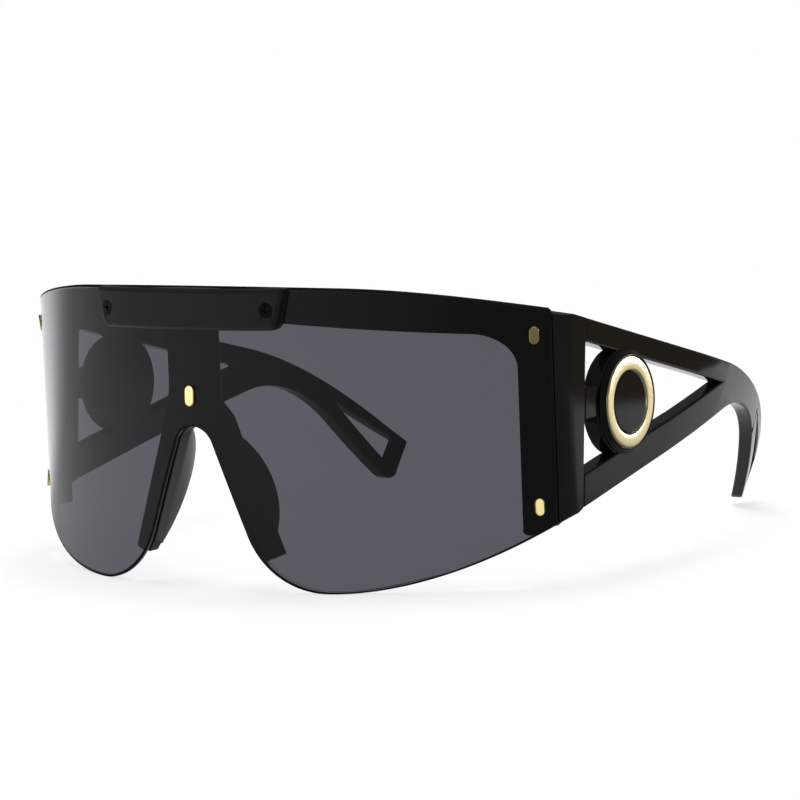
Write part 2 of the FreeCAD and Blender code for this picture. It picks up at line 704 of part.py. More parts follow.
def make_front_frame():
    body = new_body("front_frame")
    plan = new_sketch(body, "frame_plan", "XY_Plane")
    draw_outline(plan, frame_plan())
    pad(body, plan, S.lens_height)
    front = new_sketch(body, "frame_front_view", "XZ_Plane")
    draw_frame_round(front, frame_outline())
    cut_through(body, front)
    ends = new_sketch(body, "frame_ends", "YZ_Plane")
    draw_outline(ends, end_trim_outline())
    cut_through(body, ends)
    for side, tag in ((1, "left"), (-1, "right")):
        chamfer_post(body, side, tag)
    bite = S.screw_bite + S.seat_gap + S.seat_gap
    bore_for_fixings(body, every_fixing(), shank_hole, S.lens_thick, bite)
    for side, tag in ((1, "left"), (-1, "right")):
        for n, foot in enumerate(front_rivet_places(side)):
            name = f"front_rivet_hole_{tag}_{n}"
            bore(body, name, S.rivet_radius + S.seat_gap, S.rivet_bite + S.seat_gap, foot, Vector(side, 0, 0))
    return body


def edges_on_radius(shape, radius):
    """Names of the edges that bound the face of that radius about an upright axis."""
    names = []
    for face in shape.Faces:
        surface = face.Surface
        if isinstance(surface, Part.Cylinder) and abs(surface.Radius - radius) < 1e-6:
            for edge in face.Edges:
                for n, candidate in enumerate(shape.Edges, 1):
                    if candidate.isSame(edge):
                        names.append(f"Edge{n}")
    return sorted(set(names))


def plate_outline():
    """Front view of the brow plate: longer along its top, with rounded lower corners."""
    head, foot = S.plate_upper_length / 2, S.plate_lower_length / 2
    top = (head, S.plate_top)
    corner = (foot, S.plate_foot)
    other = (-foot, S.plate_foot)
    low_a, low_b, radius = bend_corner(other, corner, top, S.plate_corner_run)
    right = [(*low_a, radius), low_b, top]
    return right + mirror_outline(right)


def make_brow_plate():
    body = new_body("brow_plate")
    inner = S.lens_radius + S.seat_gap
    outer = inner + S.plate_thick
    plan = new_sketch(body, "plate_plan", "XY_Plane")
    draw_outline(plan, band_outline(outer, inner, S.plate_upper_length))
    pad(body, plan, S.lens_height)
    front = new_sketch(body, "plate_front", "XZ_Plane")
    draw_frame_round(front, plate_outline())
    trimmed = cut_through(body, front)
    bevel = body.newObject("PartDesign::Chamfer", "plate_bevel")
    bevel.Base = (trimmed, edges_on_radius(trimmed.Shape, outer.value))
    bind(bevel, Size=S.plate_bevel)
    doc.recompute()
    screws = [name for name, x, z in screw_places()]
    thick = S.plate_thick + S.seat_gap
    bore_for_fixings(body, screws, shank_hole, -2 * thick, 4 * thick)
    bore_for_fixings(body, screws, lambda name: S.brow_head_radius + S.seat_gap, -2 * thick,
                     thick + S.brow_head_height)
    return body


def turn_outwards(direction):
    """Rotation that takes a piece's own +Z to direction, keeping its own +Y upright."""
    across = Vector(0, 0, 1).cross(direction)
    return Rotation(across, Vector(0, 0, 1), direction, "ZYX")


def oblong(half_width, half_length):
    """Upright oblong with round ends."""
    straight = half_length - half_width
    return [
        (half_width, -straight),
        (half_width, straight, half_width),
        (0, half_length, half_width),
        (-half_width, straight),
        (-half_width, -straight, half_width),
        (0, -half_length, half_width),
    ]


def make_lens_pin(name, x, z):
    """Gold pin: an oblong head on the lens and a round shank through it into the frame."""
    body = new_body(name)
    head = new_sketch(body, name + "_head", "XY_Plane")
    if name == "lens_pin_bridge":
        draw_outline(head, oblong(S.pin_head_width / 2, S.pin_head_length / 2))
    else:
        draw_outline(head, oblong(S.side_head_width / 2, S.side_head_length / 2))
    pad(body, head, S.pin_head_height)
    shank = new_sketch(body, name + "_shank", "XY_Plane")
    draw_circle(shank, 0, 0, S.pin_shank_radius)
    pad(body, shank, S.lens_thick + S.screw_bite + S.seat_gap, reverse=True)
    foot, outward = out_from_lens(x, z, -1 * S.seat_gap)
    place(body, *foot, turn_outwards(outward))
    return body


def screw_profile(shank_radius, shank_length, head_radius, head_height):
    """Half section of a screw, head up, the head's underside at the origin."""
    return [
        (0, -1 * shank_length),
        (shank_radius, -1 * shank_length),
        (shank_radius, 0),
        (head_radius, 0),
        (head_radius, head_height),
        (0, head_height),
    ]


def bar_outline(half_width, half_length):
    return [
        (-half_width, -half_length),
        (half_width, -half_length),
        (half_width, half_length),
        (-half_width, half_length),
    ]


def cut_drive(body, name, top, half_length, cross):
    """Straight slot, or a cross, in a screw's head."""
    arms = [(S.drive_width / 2, half_length)]
    if cross:
        arms.append((half_length, S.drive_width / 2))
    for n, (half_width, half_height) in enumerate(arms):
        level = Placement(Vector(0, 0, top.value), Rotation())
        sketch = new_sketch(body, f"{name}_drive_{n}", "XY_Plane", level)
        bind(sketch, AttachmentOffset__Base__z=top)
        draw_outline(sketch, bar_outline(half_width, half_height))
        before = body.Shape.Volume
        groove = body.newObject("PartDesign::Pocket", f"{name}_drive_{n}_cut")
        groove.Profile = sketch
        groove.Type = "Length"
        bind(groove, Length=S.drive_depth)
        doc.recompute()
        if not body.Shape.Volume < before:
            raise RuntimeError(f"{name} has no drive")


def make_brow_screw(name, x, z):
    """Cross-head screw through the brow plate and the lens into the brow bar."""
    body = new_body(name)
    under_head = S.plate_thick - S.brow_head_height
    shank = under_head + S.seat_gap + S.lens_thick + S.screw_bite
    profile = new_sketch(body, name + "_profile", "XZ_Plane")
    head = S.brow_head_height - S.seat_gap
    draw_outline(profile, screw_profile(S.brow_shank_radius, shank, S.brow_head_radius, head))
    turn(body, profile)
    cut_drive(body, name, head, S.brow_head_radius * 0.65, True)
    foot, outward = out_from_lens(x, z, -1 * (S.seat_gap + S.seat_gap + under_head))
    place(body, *foot, turn_outwards(outward))
    return body


def make_nose_pad(side, tag):
    """Pad behind a nose leg: a flat plate with a round rear edge, flared away from the nose."""
    body = new_body("nose_pad_" + tag)
    down = Vector(side * S.side_x.value, 0, -S.side_z.value)
    flare = math.radians(S.pad_flare_angle.value)
    back = Vector(side * math.sin(flare), math.cos(flare), 0)
    back = (back - down * back.dot(down)).normalize()
    rotation = Rotation(back, down * -1, back.cross(down * -1), "XYZ")
    notch_x, notch_z = notch_corner()
    half = S.pad_length / 2
    radius = (half * half + S.pad_depth * S.pad_depth) / (2 * S.pad_depth)
    middle = half - S.pad_start
    x = notch_x + middle * S.side_x
    z = notch_z - middle * S.side_z
    y = S.lens_radius - root(S.frame_back * S.frame_back - x * x)
    plane = Placement(Vector(side * x.value, y.value, z.value), rotation)
    edge = new_sketch(body, "pad_edge_" + tag, "XY_Plane", plane)
    bind(edge, AttachmentOffset__Base__x=side * x, AttachmentOffset__Base__y=y, AttachmentOffset__Base__z=z)
    front = -1 * S.frame_thick
    draw_outline(edge, [
        (front, -1 * half),
        (0, -1 * half, radius),
        (0, half),
        (front, half),
    ])
    pad(body, edge, S.pad_thick, reverse=side < 0)
    # The front of the plate is cut to sit on the back of the leg
    seat = new_sketch(body, "pad_seat_" + tag, "XY_Plane")
    draw_outline(seat, bar_outline(as_size(2 * FAR), as_size(2 * FAR)))
    draw_circle(seat, 0, S.lens_radius, S.frame_back - S.seat_gap)
    cut_through(body, seat)
    return body


def leaf_outline(near, far):
    """Side view of a hinge leaf's plate, from near to far of the axis."""
    low, high = S.hinge_up - S.leaf_half, S.hinge_up + S.leaf_half
    return [
        (S.hinge_y + near, low),
        (S.hinge_y + far, low),
        (S.hinge_y + far, high),
        (S.hinge_y + near, high),
    ]


def make_leaf(side, tag, label, near, far, knuckles, rivets):
    """Hinge leaf: a plate against the plastic, and knuckles on the axis joined to it by webs."""
    body = new_body(f"{label}_{tag}")
    outer = side * S.leaf_face
    plane = Placement(Vector(0, 0, outer.value), Rotation())
    plate = new_sketch(body, f"{label}_plate_{tag}", "YZ_Plane", plane)
    bind(plate, AttachmentOffset__Base__z=outer)
    draw_outline(plate, leaf_outline(near, far))
    pad(body, plate, S.leaf_thick, reverse=side > 0)
    for n, (low, high) in enumerate(knuckles):
        web = new_sketch(body, f"{label}_web_{tag}_{n}", "YZ_Plane", plane)
        bind(web, AttachmentOffset__Base__z=outer)
        draw_outline(web, [
            (S.hinge_y, low),
            (S.hinge_y + near, low),
            (S.hinge_y + near, high),
            (S.hinge_y, high),
        ])
        pad(body, web, S.leaf_thick, reverse=side > 0)
        level = Placement(Vector(0, 0, low.value), Rotation())
        knuckle = new_sketch(body, f"{label}_knuckle_{tag}_{n}", "XY_Plane", level)
        bind(knuckle, AttachmentOffset__Base__z=low)
        draw_circle(knuckle, side * S.hinge_x, S.hinge_y, S.barrel_radius)
        pad(body, knuckle, high - low)
    foot = (side * S.hinge_x, S.hinge_y, S.hinge_up - 2 * S.barrel_half)
    pin_hole = S.hinge_shank_radius + S.running_gap
    bore(body, f"{label}_pin_hole_{tag}", pin_hole, 4 * S.barrel_half, foot, Vector(0, 0, 1))
    rivet_hole = S.rivet_radius + S.seat_gap
    for n, (x, y, z) in enumerate(rivets):
        start = (x - side * 2 * S.leaf_thick, y, z)
        bore(body, f"{label}_rivet_{tag}_{n}", rivet_hole, 3 * S.leaf_thick, start, Vector(side, 0, 0))
    return body


def make_front_leaf(side, tag):
    gap = S.knuckle_half + S.knuckle_gap
    knuckles = [
        (S.hinge_up - S.barrel_half, S.hinge_up - gap),
        (S.hinge_up + gap, S.hinge_up + S.barrel_half),
    ]
    near = -1 * S.leaf_clear
    far = near - S.leaf_front
    return make_leaf(side, tag, "hinge_front_leaf", near, far, knuckles, front_rivet_places(side))


def make_temple_leaf(side, tag):
    knuckles = [(S.hinge_up - S.knuckle_half, S.hinge_up + S.knuckle_half)]
    far = S.leaf_clear + S.leaf_rear
    return make_leaf(side, tag, "hinge_temple_leaf", S.leaf_clear, far, knuckles, temple_rivet_places(side))


def make_rivets(side, tag, label, places):
    """Two rivets in one node: heads on the leaf's face, shanks in the plastic."""
    rivets = []
    for n, (x, y, z) in enumerate(places):
        name = f"{label}_{tag}_{n}"
        body = new_body(name)
        profile = new_sketch(body, name + "_profile", "XZ_Plane")
        shank = S.leaf_thick + S.seat_gap + S.rivet_bite
        draw_outline(profile, screw_profile(S.rivet_radius, shank, S.rivet_head_radius, S.rivet_head_height))
        turn(body, profile)
        head = x - side * (S.leaf_thick + S.seat_gap + S.seat_gap)
        place(body, head, y, z, Rotation(Vector(0, 0, 1), Vector(-side, 0, 0)))
        rivets.append(body)
    group = doc.addObject("Part::Compound", f"{label}_{tag}")
    group.Label = f"{label}_{tag}"
    group.Links = rivets
    doc.recompute()
    return group


def make_hinge_screw(side, tag):
    """Slotted screw that is the hinge's pin, its head on the upper knuckle."""
    name = "hinge_screw_" + tag
    body = new_body(name)
    profile = new_sketch(body, name + "_profile", "XZ_Plane")
    length = 2 * S.barrel_half + S.seat_gap
    head = S.hinge_head_height
    draw_outline(profile, screw_profile(S.hinge_shank_radius, length, S.hinge_head_radius, head))
    turn(body, profile)
    cut_drive(body, name, S.hinge_head_height, 2 * S.hinge_head_radius, False)
    place(body, side * S.hinge_x, S.hinge_y, S.hinge_up + S.barrel_half + S.seat_gap, Rotation())
    return body


def arm_band(side):
    """Section of the temple's wall across the turn's axis: straight, then turned towards the head."""
    start = (S.seam_y + S.tail_bend_start) * cosine(S.tail_bend_angle) - S.hinge_up * sine(S.tail_bend_angle)
    outer, inner = S.tail_bend, S.tail_bend + S.tail_thinning
    outer_x, inner_x = S.front_half, S.inner_face
    # Both faces turn until well past the tail's end, where a 3-4-5 triangle gives sine and cosine
    lean, rise = 0.8, 0.6
    corners = [
        (outer_x, -FAR),
        (outer_x, start, outer),
        (outer_x - outer * (1 - rise), start + outer * lean),
        (inner_x - inner * (1 - rise), start + inner * lean, -inner),
        (inner_x, start),
        (inner_x, -FAR),
    ]
    if side > 0:
        return corners
    return mirror_outline(corners)


def mirror_outline(corners):
    """The outline mirrored left to right and listed the same way round; each arc keeps its two ends."""
    mirrored = []
    for i in range(len(corners) - 1, -1, -1):
        before = corners[i - 1]
        corner = (-corners[i][0], corners[i][1])
        mirrored.append(corner + (before[2],) if len(before) == 3 else corner)
    return mirrored


def bend_corner(before, corner, after, run):
    """Replaces a corner by an arc that leaves both straights at run from it: its two ends and radius."""
    ends = []
    ways = []
    for point in (before, after):
        dx, dz = point[0] - corner[0], point[1] - corner[1]
        length = root(dx * dx + dz * dz)
        ways.append((dx / length, dz / length))
        ends.append((corner[0] + run * ways[-1][0], corner[1] + run * ways[-1][1]))
    # Half the angle between the straights: its tangent from their dot product
    dot = ways[0][0] * ways[1][0] + ways[0][1] * ways[1][1]
    radius = run * root((1 - dot) / (1 + dot))
    return ends[0], ends[1], radius


def arm_outline():
    """Side view of a temple: seam, bottom edge, rounded tip, tail end and top edge."""
    foot = (S.seam_y - S.seam_lean + S.seam_gap, S.seam_foot)
    top = (S.seam_y + S.seam_gap, S.seam_top)
    tip = (S.tail_y - S.tip_back, as_size(0))
    corner = (S.tail_y, S.tail_height)
    elbow = (S.seam_y + S.elbow_reach, S.elbow_height)
    neck = (elbow[0] - S.neck_back, elbow[1] - S.neck_drop)
    neck_a, neck_b, neck_radius = bend_corner(foot, neck, tip, S.neck_run)
    tip_a, tip_b, tip_radius = bend_corner(neck, tip, corner, S.tip_run)
    elbow_a, elbow_b, elbow_radius = bend_corner(corner, elbow, top, S.elbow_run)
    return [
        foot,
        (*neck_a, -neck_radius),
        neck_b,
        (*tip_a, tip_radius),
        tip_b,
        corner,
        (*elbow_a, elbow_radius),
        elbow_b,
        top,
    ]


def arm_opening():
    """Side view of the triangle between the bars, open to the seam; its edges run just inside the boss."""
    front = S.seam_y - 4 * S.seam_lean
    run = S.seam_y + S.boss_reach - front
    foot_front = S.boss_up - S.boss_radius + S.boss_foot_overlap - S.foot_slope * run
    top_front = S.boss_up + S.boss_radius - S.boss_top_overlap + S.top_slope * run
    rear = front + (top_front - foot_front) / (S.top_slope + S.foot_slope)
    rear_z = foot_front + S.foot_slope * (rear - front)
    return [(front, foot_front), (rear, rear_z), (front, top_front)]


def tail_slot():
    """Side view of the slot through the tail, set out from the tail's rear corner."""
    return [
        (S.tail_y - S.slot_length, S.tail_height + S.slot_height),
        (S.tail_y - S.slot_foot, S.tail_height - S.slot_drop),
        (S.tail_y - S.slot_end, S.tail_height + S.slot_rise),
    ]


def hinge_lug():
    """Side view of the lug between the medallion's boss and the seam."""
    low, high = S.hinge_up - S.lug_half, S.hinge_up + S.lug_half
    rear = S.seam_y + S.boss_reach
    foot = S.seam_y - (S.seam_top - low) * S.seam_slope + S.seam_gap
    head = S.seam_y - (S.seam_top - high) * S.seam_slope + S.seam_gap
    return [(foot, low), (rear, low), (rear, high), (head, high)]


def make_temple_arm(side, tag):
    body = new_body("temple_arm_" + tag)
    tilt = Placement(Vector(), Rotation(Vector(1, 0, 0), -S.tail_bend_angle.value))
    band = new_sketch(body, "arm_band_" + tag, "XY_Plane", tilt)
    draw_outline(band, arm_band(side))
    pad(body, band, 2 * FAR, both_ways=True)
    outline = new_sketch(body, "arm_side_" + tag, "YZ_Plane")
    draw_frame_round(outline, arm_outline())
    cut_through(body, outline)
    opening = new_sketch(body, "arm_opening_" + tag, "YZ_Plane")
    draw_outline(opening, arm_opening())
    cut_through(body, opening)
    slot = new_sketch(body, "arm_slot_" + tag, "YZ_Plane")
    draw_outline(slot, tail_slot())
    cut_through(body, slot)
    inner = side * S.inner_face
    plane = Placement(Vector(0, 0, inner.value), Rotation())
    boss = new_sketch(body, "arm_boss_" + tag, "YZ_Plane", plane)
    bind(boss, AttachmentOffset__Base__z=inner)
    draw_circle(boss, S.seam_y + S.boss_reach, S.boss_up, S.boss_radius)
    pad(body, boss, S.arm_thick, reverse=side < 0)
    lug = new_sketch(body, "arm_lug_" + tag, "YZ_Plane", plane)
    bind(lug, AttachmentOffset__Base__z=inner)
    draw_outline(lug, hinge_lug())
    pad(body, lug, S.arm_thick, reverse=side < 0)
    for n, foot in enumerate(temple_rivet_places(side)):
        name = f"temple_rivet_hole_{tag}_{n}"
        bore(body, name, S.rivet_radius + S.seat_gap, S.rivet_bite + S.seat_gap, foot, Vector(side, 0, 0))
    return body


def place_on_boss(body, side, height):
    """Sets a turned piece on the medallion's boss, height above its face, its axis outwards."""
    x = side * (S.front_half + height)
    place(body, x, S.seam_y + S.boss_reach, S.boss_up, Rotation(Vector(0, 0, 1), Vector(side, 0, 0)))


def make_bezel(side, tag):
    """Stepped black cup: a floor and a rim whose outside goes in by two steps."""
    body = new_body("medallion_bezel_" + tag)
    profile = new_sketch(body, "bezel_profile_" + tag, "XZ_Plane")
    step, base, inside = S.bezel_step, S.bezel_radius, S.ring_outer + S.seat_gap
    draw_outline(profile, [
        (0, 0),
        (base, 0),
        (base, step),
        (base - step, step),
        (base - step, 2 * step),
        (base - 2 * step, 2 * step),
        (base - 2 * step, 3 * step),
        (inside, 3 * step),
        (inside, S.bezel_floor),
        (0, S.bezel_floor),
    ])
    turn(body, profile)
    place_on_boss(body, side, S.seat_gap)
    return body


def make_ring(side, tag):
    """Plain gold ring with a rounded crest."""
    body = new_body("medallion_ring_" + tag)
    profile = new_sketch(body, "ring_profile_" + tag, "XZ_Plane")
    half = (S.ring_outer - S.ring_inner) / 2
    crown = S.ring_crown
    radius = (half * half + crown * crown) / (2 * crown)
    draw_outline(profile, [
        (S.ring_inner, 0),
        (S.ring_outer, 0),
        (S.ring_outer, S.ring_height - crown, radius),
        (S.ring_inner, S.ring_height - crown),
    ])
    turn(body, profile)
    place_on_boss(body, side, S.seat_gap + S.bezel_floor + S.seat_gap)
    return body


def make_centre(side, tag):
    """Plain black disc with a domed face, inside the ring."""
    body = new_body("medallion_centre_" + tag)
    profile = new_sketch(body, "centre_profile_" + tag, "XZ_Plane")
    rim = S.ring_inner - S.seat_gap
    dome = S.centre_dome
    radius = (rim * rim + dome * dome) / (2 * dome)
    draw_outline(profile, [
        (0, 0),
        (rim, 0),
        (rim, S.centre_rim, radius),
        (0, S.centre_rim + dome),
    ])
    turn(body, profile)
    place_on_boss(body, side, S.seat_gap + S.bezel_floor + S.seat_gap)
    return body


def make_sunglasses():
    """Every sub-part, front first."""
    parts = [make_lens(), make_front_frame(), make_brow_plate()]
    parts += [make_lens_pin(name, x, z) for name, x, z in pin_places()]
    parts += [make_brow_screw(name, x, z) for name, x, z in screw_places()]
    for side, tag in ((1, "left"), (-1, "right")):
        parts.append(make_nose_pad(side, tag))
        parts.append(make_front_leaf(side, tag))
        parts.append(make_rivets(side, tag, "hinge_front_rivets", front_rivet_places(side)))
        parts.append(make_hinge_screw(side, tag))
        parts.append(make_temple_arm(side, tag))
        parts.append(make_temple_leaf(side, tag))
        parts.append(make_rivets(side, tag, "hinge_temple_rivets", temple_rivet_places(side)))
        parts.append(make_bezel(side, tag))
        parts.append(make_ring(side, tag))
        parts.append(make_centre(side, tag))
    doc.recompute()
    return parts


def check(parts):
    """Stops if an object failed to recompute or a sub-part is empty or not valid."""
    for obj in doc.Objects:
        if {"Invalid", "Error"} & set(obj.State):
            raise RuntimeError(f"{obj.Label} failed: {obj.State}")
    for part in parts:
        shape = part.Shape
        if shape.isNull() or not shape.isValid() or not shape.Solids:
            raise RuntimeError(f"{part.Label} is not a valid solid")


def export(parts):
    os.makedirs("parts", exist_ok=True)
    for part in parts:
        part.Shape.exportStep(f"parts/{part.Label}.step")
        print(f"{part.Label}: {len(part.Shape.Solids)} solid, {part.Shape.Volume:.2f} mm3")


work_out_lens_sizes()
work_out_temple_sizes()
sub_parts = make_sunglasses()
check(sub_parts)
export(sub_parts)
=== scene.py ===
"""Oversized shield sunglasses: visual pieces, finishes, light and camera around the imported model."""

import json
import math

import bmesh
import bpy
import numpy as np
from mathutils import Matrix, Vector

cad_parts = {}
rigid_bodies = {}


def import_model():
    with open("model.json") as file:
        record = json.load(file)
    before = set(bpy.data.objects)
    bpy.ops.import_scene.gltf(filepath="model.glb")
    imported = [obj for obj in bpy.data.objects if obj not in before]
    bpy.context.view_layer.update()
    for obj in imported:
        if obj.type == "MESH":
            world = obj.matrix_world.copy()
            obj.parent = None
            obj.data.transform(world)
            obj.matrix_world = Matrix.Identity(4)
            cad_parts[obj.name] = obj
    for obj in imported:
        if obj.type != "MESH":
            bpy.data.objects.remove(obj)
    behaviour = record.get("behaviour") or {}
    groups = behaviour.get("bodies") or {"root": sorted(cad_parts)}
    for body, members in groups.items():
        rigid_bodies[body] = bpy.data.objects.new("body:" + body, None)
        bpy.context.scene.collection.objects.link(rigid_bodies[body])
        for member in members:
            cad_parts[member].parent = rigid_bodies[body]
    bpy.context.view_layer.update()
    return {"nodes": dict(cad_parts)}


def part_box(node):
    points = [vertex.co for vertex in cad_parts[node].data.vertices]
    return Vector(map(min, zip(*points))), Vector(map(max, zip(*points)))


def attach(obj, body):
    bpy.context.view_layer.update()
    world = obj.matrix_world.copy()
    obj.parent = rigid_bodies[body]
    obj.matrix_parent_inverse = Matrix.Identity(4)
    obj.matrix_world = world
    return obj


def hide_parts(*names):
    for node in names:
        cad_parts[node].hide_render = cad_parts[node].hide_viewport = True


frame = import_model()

NODES = frame["nodes"]
MM = 0.001
TAU = 2 * math.pi

# Wearer's sides, with the sign of X on each
SIDES = (("left", 1), ("right", -1))

# Place of the lens's front apex: pieces are worked out in millimetres from it, +Y towards the ears
APEX = np.array([0.0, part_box("shield_lens")[0].y / MM, 0.0])

# Lens and the arcs of its edges, millimetres, as on the part
LENS_RADIUS = 93.0
LENS_THICK = 2.0
LENS_HALF = 73.0
LENS_TOP = 68.0
CROWN_RADIUS = 800.0
CROWN_HALF = 35.0
SHOULDER_RADIUS = 150.0
NOTCH_TOP = 36.7
NOTCH_RADIUS = 5.6
LOBE_X = 32.0
LOBE_RADIUS = 20.0
SWEEP_RADIUS = 68.0

# Rounding of the lens's edges, and the easing of its bottom edge behind
LENS_EDGE = 0.15
LENS_EASE = 0.9

# Room left between a piece and its seat
SEAT_GAP = 0.05

# Pins: shank, heads as half width, half length and height, places, and the share by which a head leans up
PIN_SHANK_RADIUS = 0.8
PIN_SHANK_DEPTH = 4.25
BRIDGE_HEAD = (1.3, 2.4, 0.6)
SIDE_HEAD = (1.125, 2.0, 0.6)
PIN_X = 70.3
PIN_UP = 55.4
PIN_LOW = 17.612
PIN_BRIDGE = 43.6
BRIDGE_LEAN = 0.20
UPPER_LEAN = -0.35
LOWER_LEAN = 0.30

# Medallion: middle of the boss, the temple's face, the bezel and its well, the ring and the centre
BOSS_Y = 62.481
BOSS_Z = 37.5
FACE_X = 75.0
BEZEL_RADIUS = 11.8
BEZEL_STEP = 0.45
WELL_RADIUS = 10.55
WELL_FLOOR = 0.65
WELL_FLOOR_END = 9.0
RING_INNER = 7.2
RING_OUTER = 10.5
RING_HEIGHT = 0.75
CENTRE_RADIUS = 7.15
CENTRE_EDGE = 0.55
CENTRE_DOME = 0.05

# Nose pad: its sizes, how far it goes above the leg's straight side, its flare in degrees and its skin
PAD_HALF = 15.0
PAD_DEPTH = 8.5
PAD_THICK = 2.0
PAD_ABOVE_SIDE = 3.0
PAD_FLARE = 12.5
PAD_SKIN = 0.06

# Nose leg: its straight length below the pad's middle, and the radius of its back
LEG_STRAIGHT = 10.2
LEG_BACK = 87.75

# Edges of a new piece that turn by more than this stay crisp, degrees
CRISP_ANGLE = 38


# Meshes


def add_piece(name, points, faces, body, nodes, material, marks=None):
    """Object from points in millimetres from the lens apex and lists of faces, riding on a body. Marks are
    one value a point, for a finish that changes over the piece."""
    mesh = bpy.data.meshes.new(name)
    placed = (np.asarray(points, float) + APEX) * MM
    mesh.from_pydata(placed.tolist(), [], faces)
    shell = bmesh.new()
    shell.from_mesh(mesh)
    bmesh.ops.recalc_face_normals(shell, faces=shell.faces)
    shell.to_mesh(mesh)
    shell.free()
    mesh.shade_smooth()
    mesh.set_sharp_from_angle(angle=math.radians(CRISP_ANGLE))
    mesh.materials.append(material)
    if marks is not None:
        mark = mesh.attributes.new("mark", "FLOAT", "POINT")
        mark.data.foreach_set("value", np.asarray(marks, np.float32))
    piece = bpy.data.objects.new(name, mesh)
    bpy.context.scene.collection.objects.link(piece)
    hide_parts(*nodes)
    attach(piece, body)


def ring_faces(rings, count):
    """Quads between successive rings of count points each, plus one face over the first and last ring."""
    number = np.arange(rings * count).reshape(rings, count)
    beside = np.roll(number, -1, axis=1)
    quads = np.stack([number[:-1], beside[:-1], beside[1:], number[1:]], axis=-1).reshape(-1, 4)
    return quads.tolist() + [number[0][::-1].tolist(), number[-1].tolist()]


def loop_faces(rings, count):
    """Quads between rings that also close from the last ring to the first, as on a ring with a section."""
    number = np.arange(rings * count).reshape(rings, count)
    beside = np.roll(number, -1, axis=1)
    after = np.roll(number, -1, axis=0)
    diagonal = np.roll(beside, -1, axis=0)
    return np.stack([number, beside, diagonal, after], axis=-1).reshape(-1, 4).tolist()


def join_sections(sections):
    """Array with a row for each kind of value and a column for each point, from sections put end to end. In
    a section, each value is an array along it or one number for all of it."""
    return np.concatenate([np.stack(np.broadcast_arrays(*section)) for section in sections], axis=1)


def soften(corners, radius, steps):
    """Open profile with the corners between its ends rounded: each becomes a curve between the points at
    radius before and after it, by the quadratic blend (1-t)^2 A + 2t(1-t) B + t^2 C. The radius is at most
    0.45 of the shorter side."""
    corners = np.asarray(corners, float)
    before, corner, after = corners[:-2], corners[1:-1], corners[2:]
    to_before = before - corner
    to_after = after - corner
    length_before = np.linalg.norm(to_before, axis=1)
    length_after = np.linalg.norm(to_after, axis=1)
    reach = np.minimum(radius, 0.45 * np.minimum(length_before, length_after))
    start = corner + to_before * (reach / length_before)[:, None]
    end = corner + to_after * (reach / length_after)[:, None]
    t = np.linspace(0, 1, steps)[None, :, None]
    curve = (1 - t) ** 2 * start[:, None] + 2 * t * (1 - t) * corner[:, None] + t ** 2 * end[:, None]
    return np.concatenate([corners[:1], curve.reshape(-1, 2), corners[-1:]])


# Lens


def notch_side():
    """Run and fall of the straight line that touches the notch's and the lobe's arcs, and the x and z at
    which it leaves the notch's arc."""
    down = NOTCH_TOP - NOTCH_RADIUS - LOBE_RADIUS
    span = math.hypot(LOBE_X, down)
    lean = math.asin((NOTCH_RADIUS + LOBE_RADIUS) / span) - math.atan2(LOBE_X, down) + math.pi / 2
    run, fall = math.cos(lean), math.sin(lean)
    return run, fall, NOTCH_RADIUS * fall, NOTCH_TOP - NOTCH_RADIUS + NOTCH_RADIUS * run


def lens_edges(x):
    """Heights of the lens's bottom and top edges at x. Bottom: the notch's arc, its straight side that
    touches both arcs, the lobe's arc, then the outer sweep's arc. Top: the crown's arc, then the
    shoulder's."""
    x = np.abs(x)
    run, fall, notch_x, notch_z = notch_side()
    side_x = LOBE_X - LOBE_RADIUS * fall
    side_z = LOBE_RADIUS - LOBE_RADIUS * run
    notch = NOTCH_TOP - NOTCH_RADIUS + np.sqrt(np.maximum(NOTCH_RADIUS ** 2 - x ** 2, 0))
    side = notch_z + (x - notch_x) * (side_z - notch_z) / (side_x - notch_x)
    lobe = LOBE_RADIUS - np.sqrt(np.maximum(LOBE_RADIUS ** 2 - (x - LOBE_X) ** 2, 0))
    sweep = SWEEP_RADIUS - np.sqrt(np.maximum(SWEEP_RADIUS ** 2 - (x - LOBE_X) ** 2, 0))
    bottom = np.select([x <= notch_x, x <= side_x, x <= LOBE_X], [notch, side, lobe], sweep)
    crown = LENS_TOP - CROWN_RADIUS + np.sqrt(CROWN_RADIUS ** 2 - x ** 2)
    tilt = CROWN_HALF / CROWN_RADIUS
    centre_x = CROWN_HALF - SHOULDER_RADIUS * tilt
    centre_z = LENS_TOP - CROWN_RADIUS + (CROWN_RADIUS - SHOULDER_RADIUS) * math.sqrt(1 - tilt ** 2)
    shoulder = centre_z + np.sqrt(SHOULDER_RADIUS ** 2 - np.maximum(x - centre_x, 0) ** 2)
    return bottom, np.where(x <= CROWN_HALF, crown, shoulder)


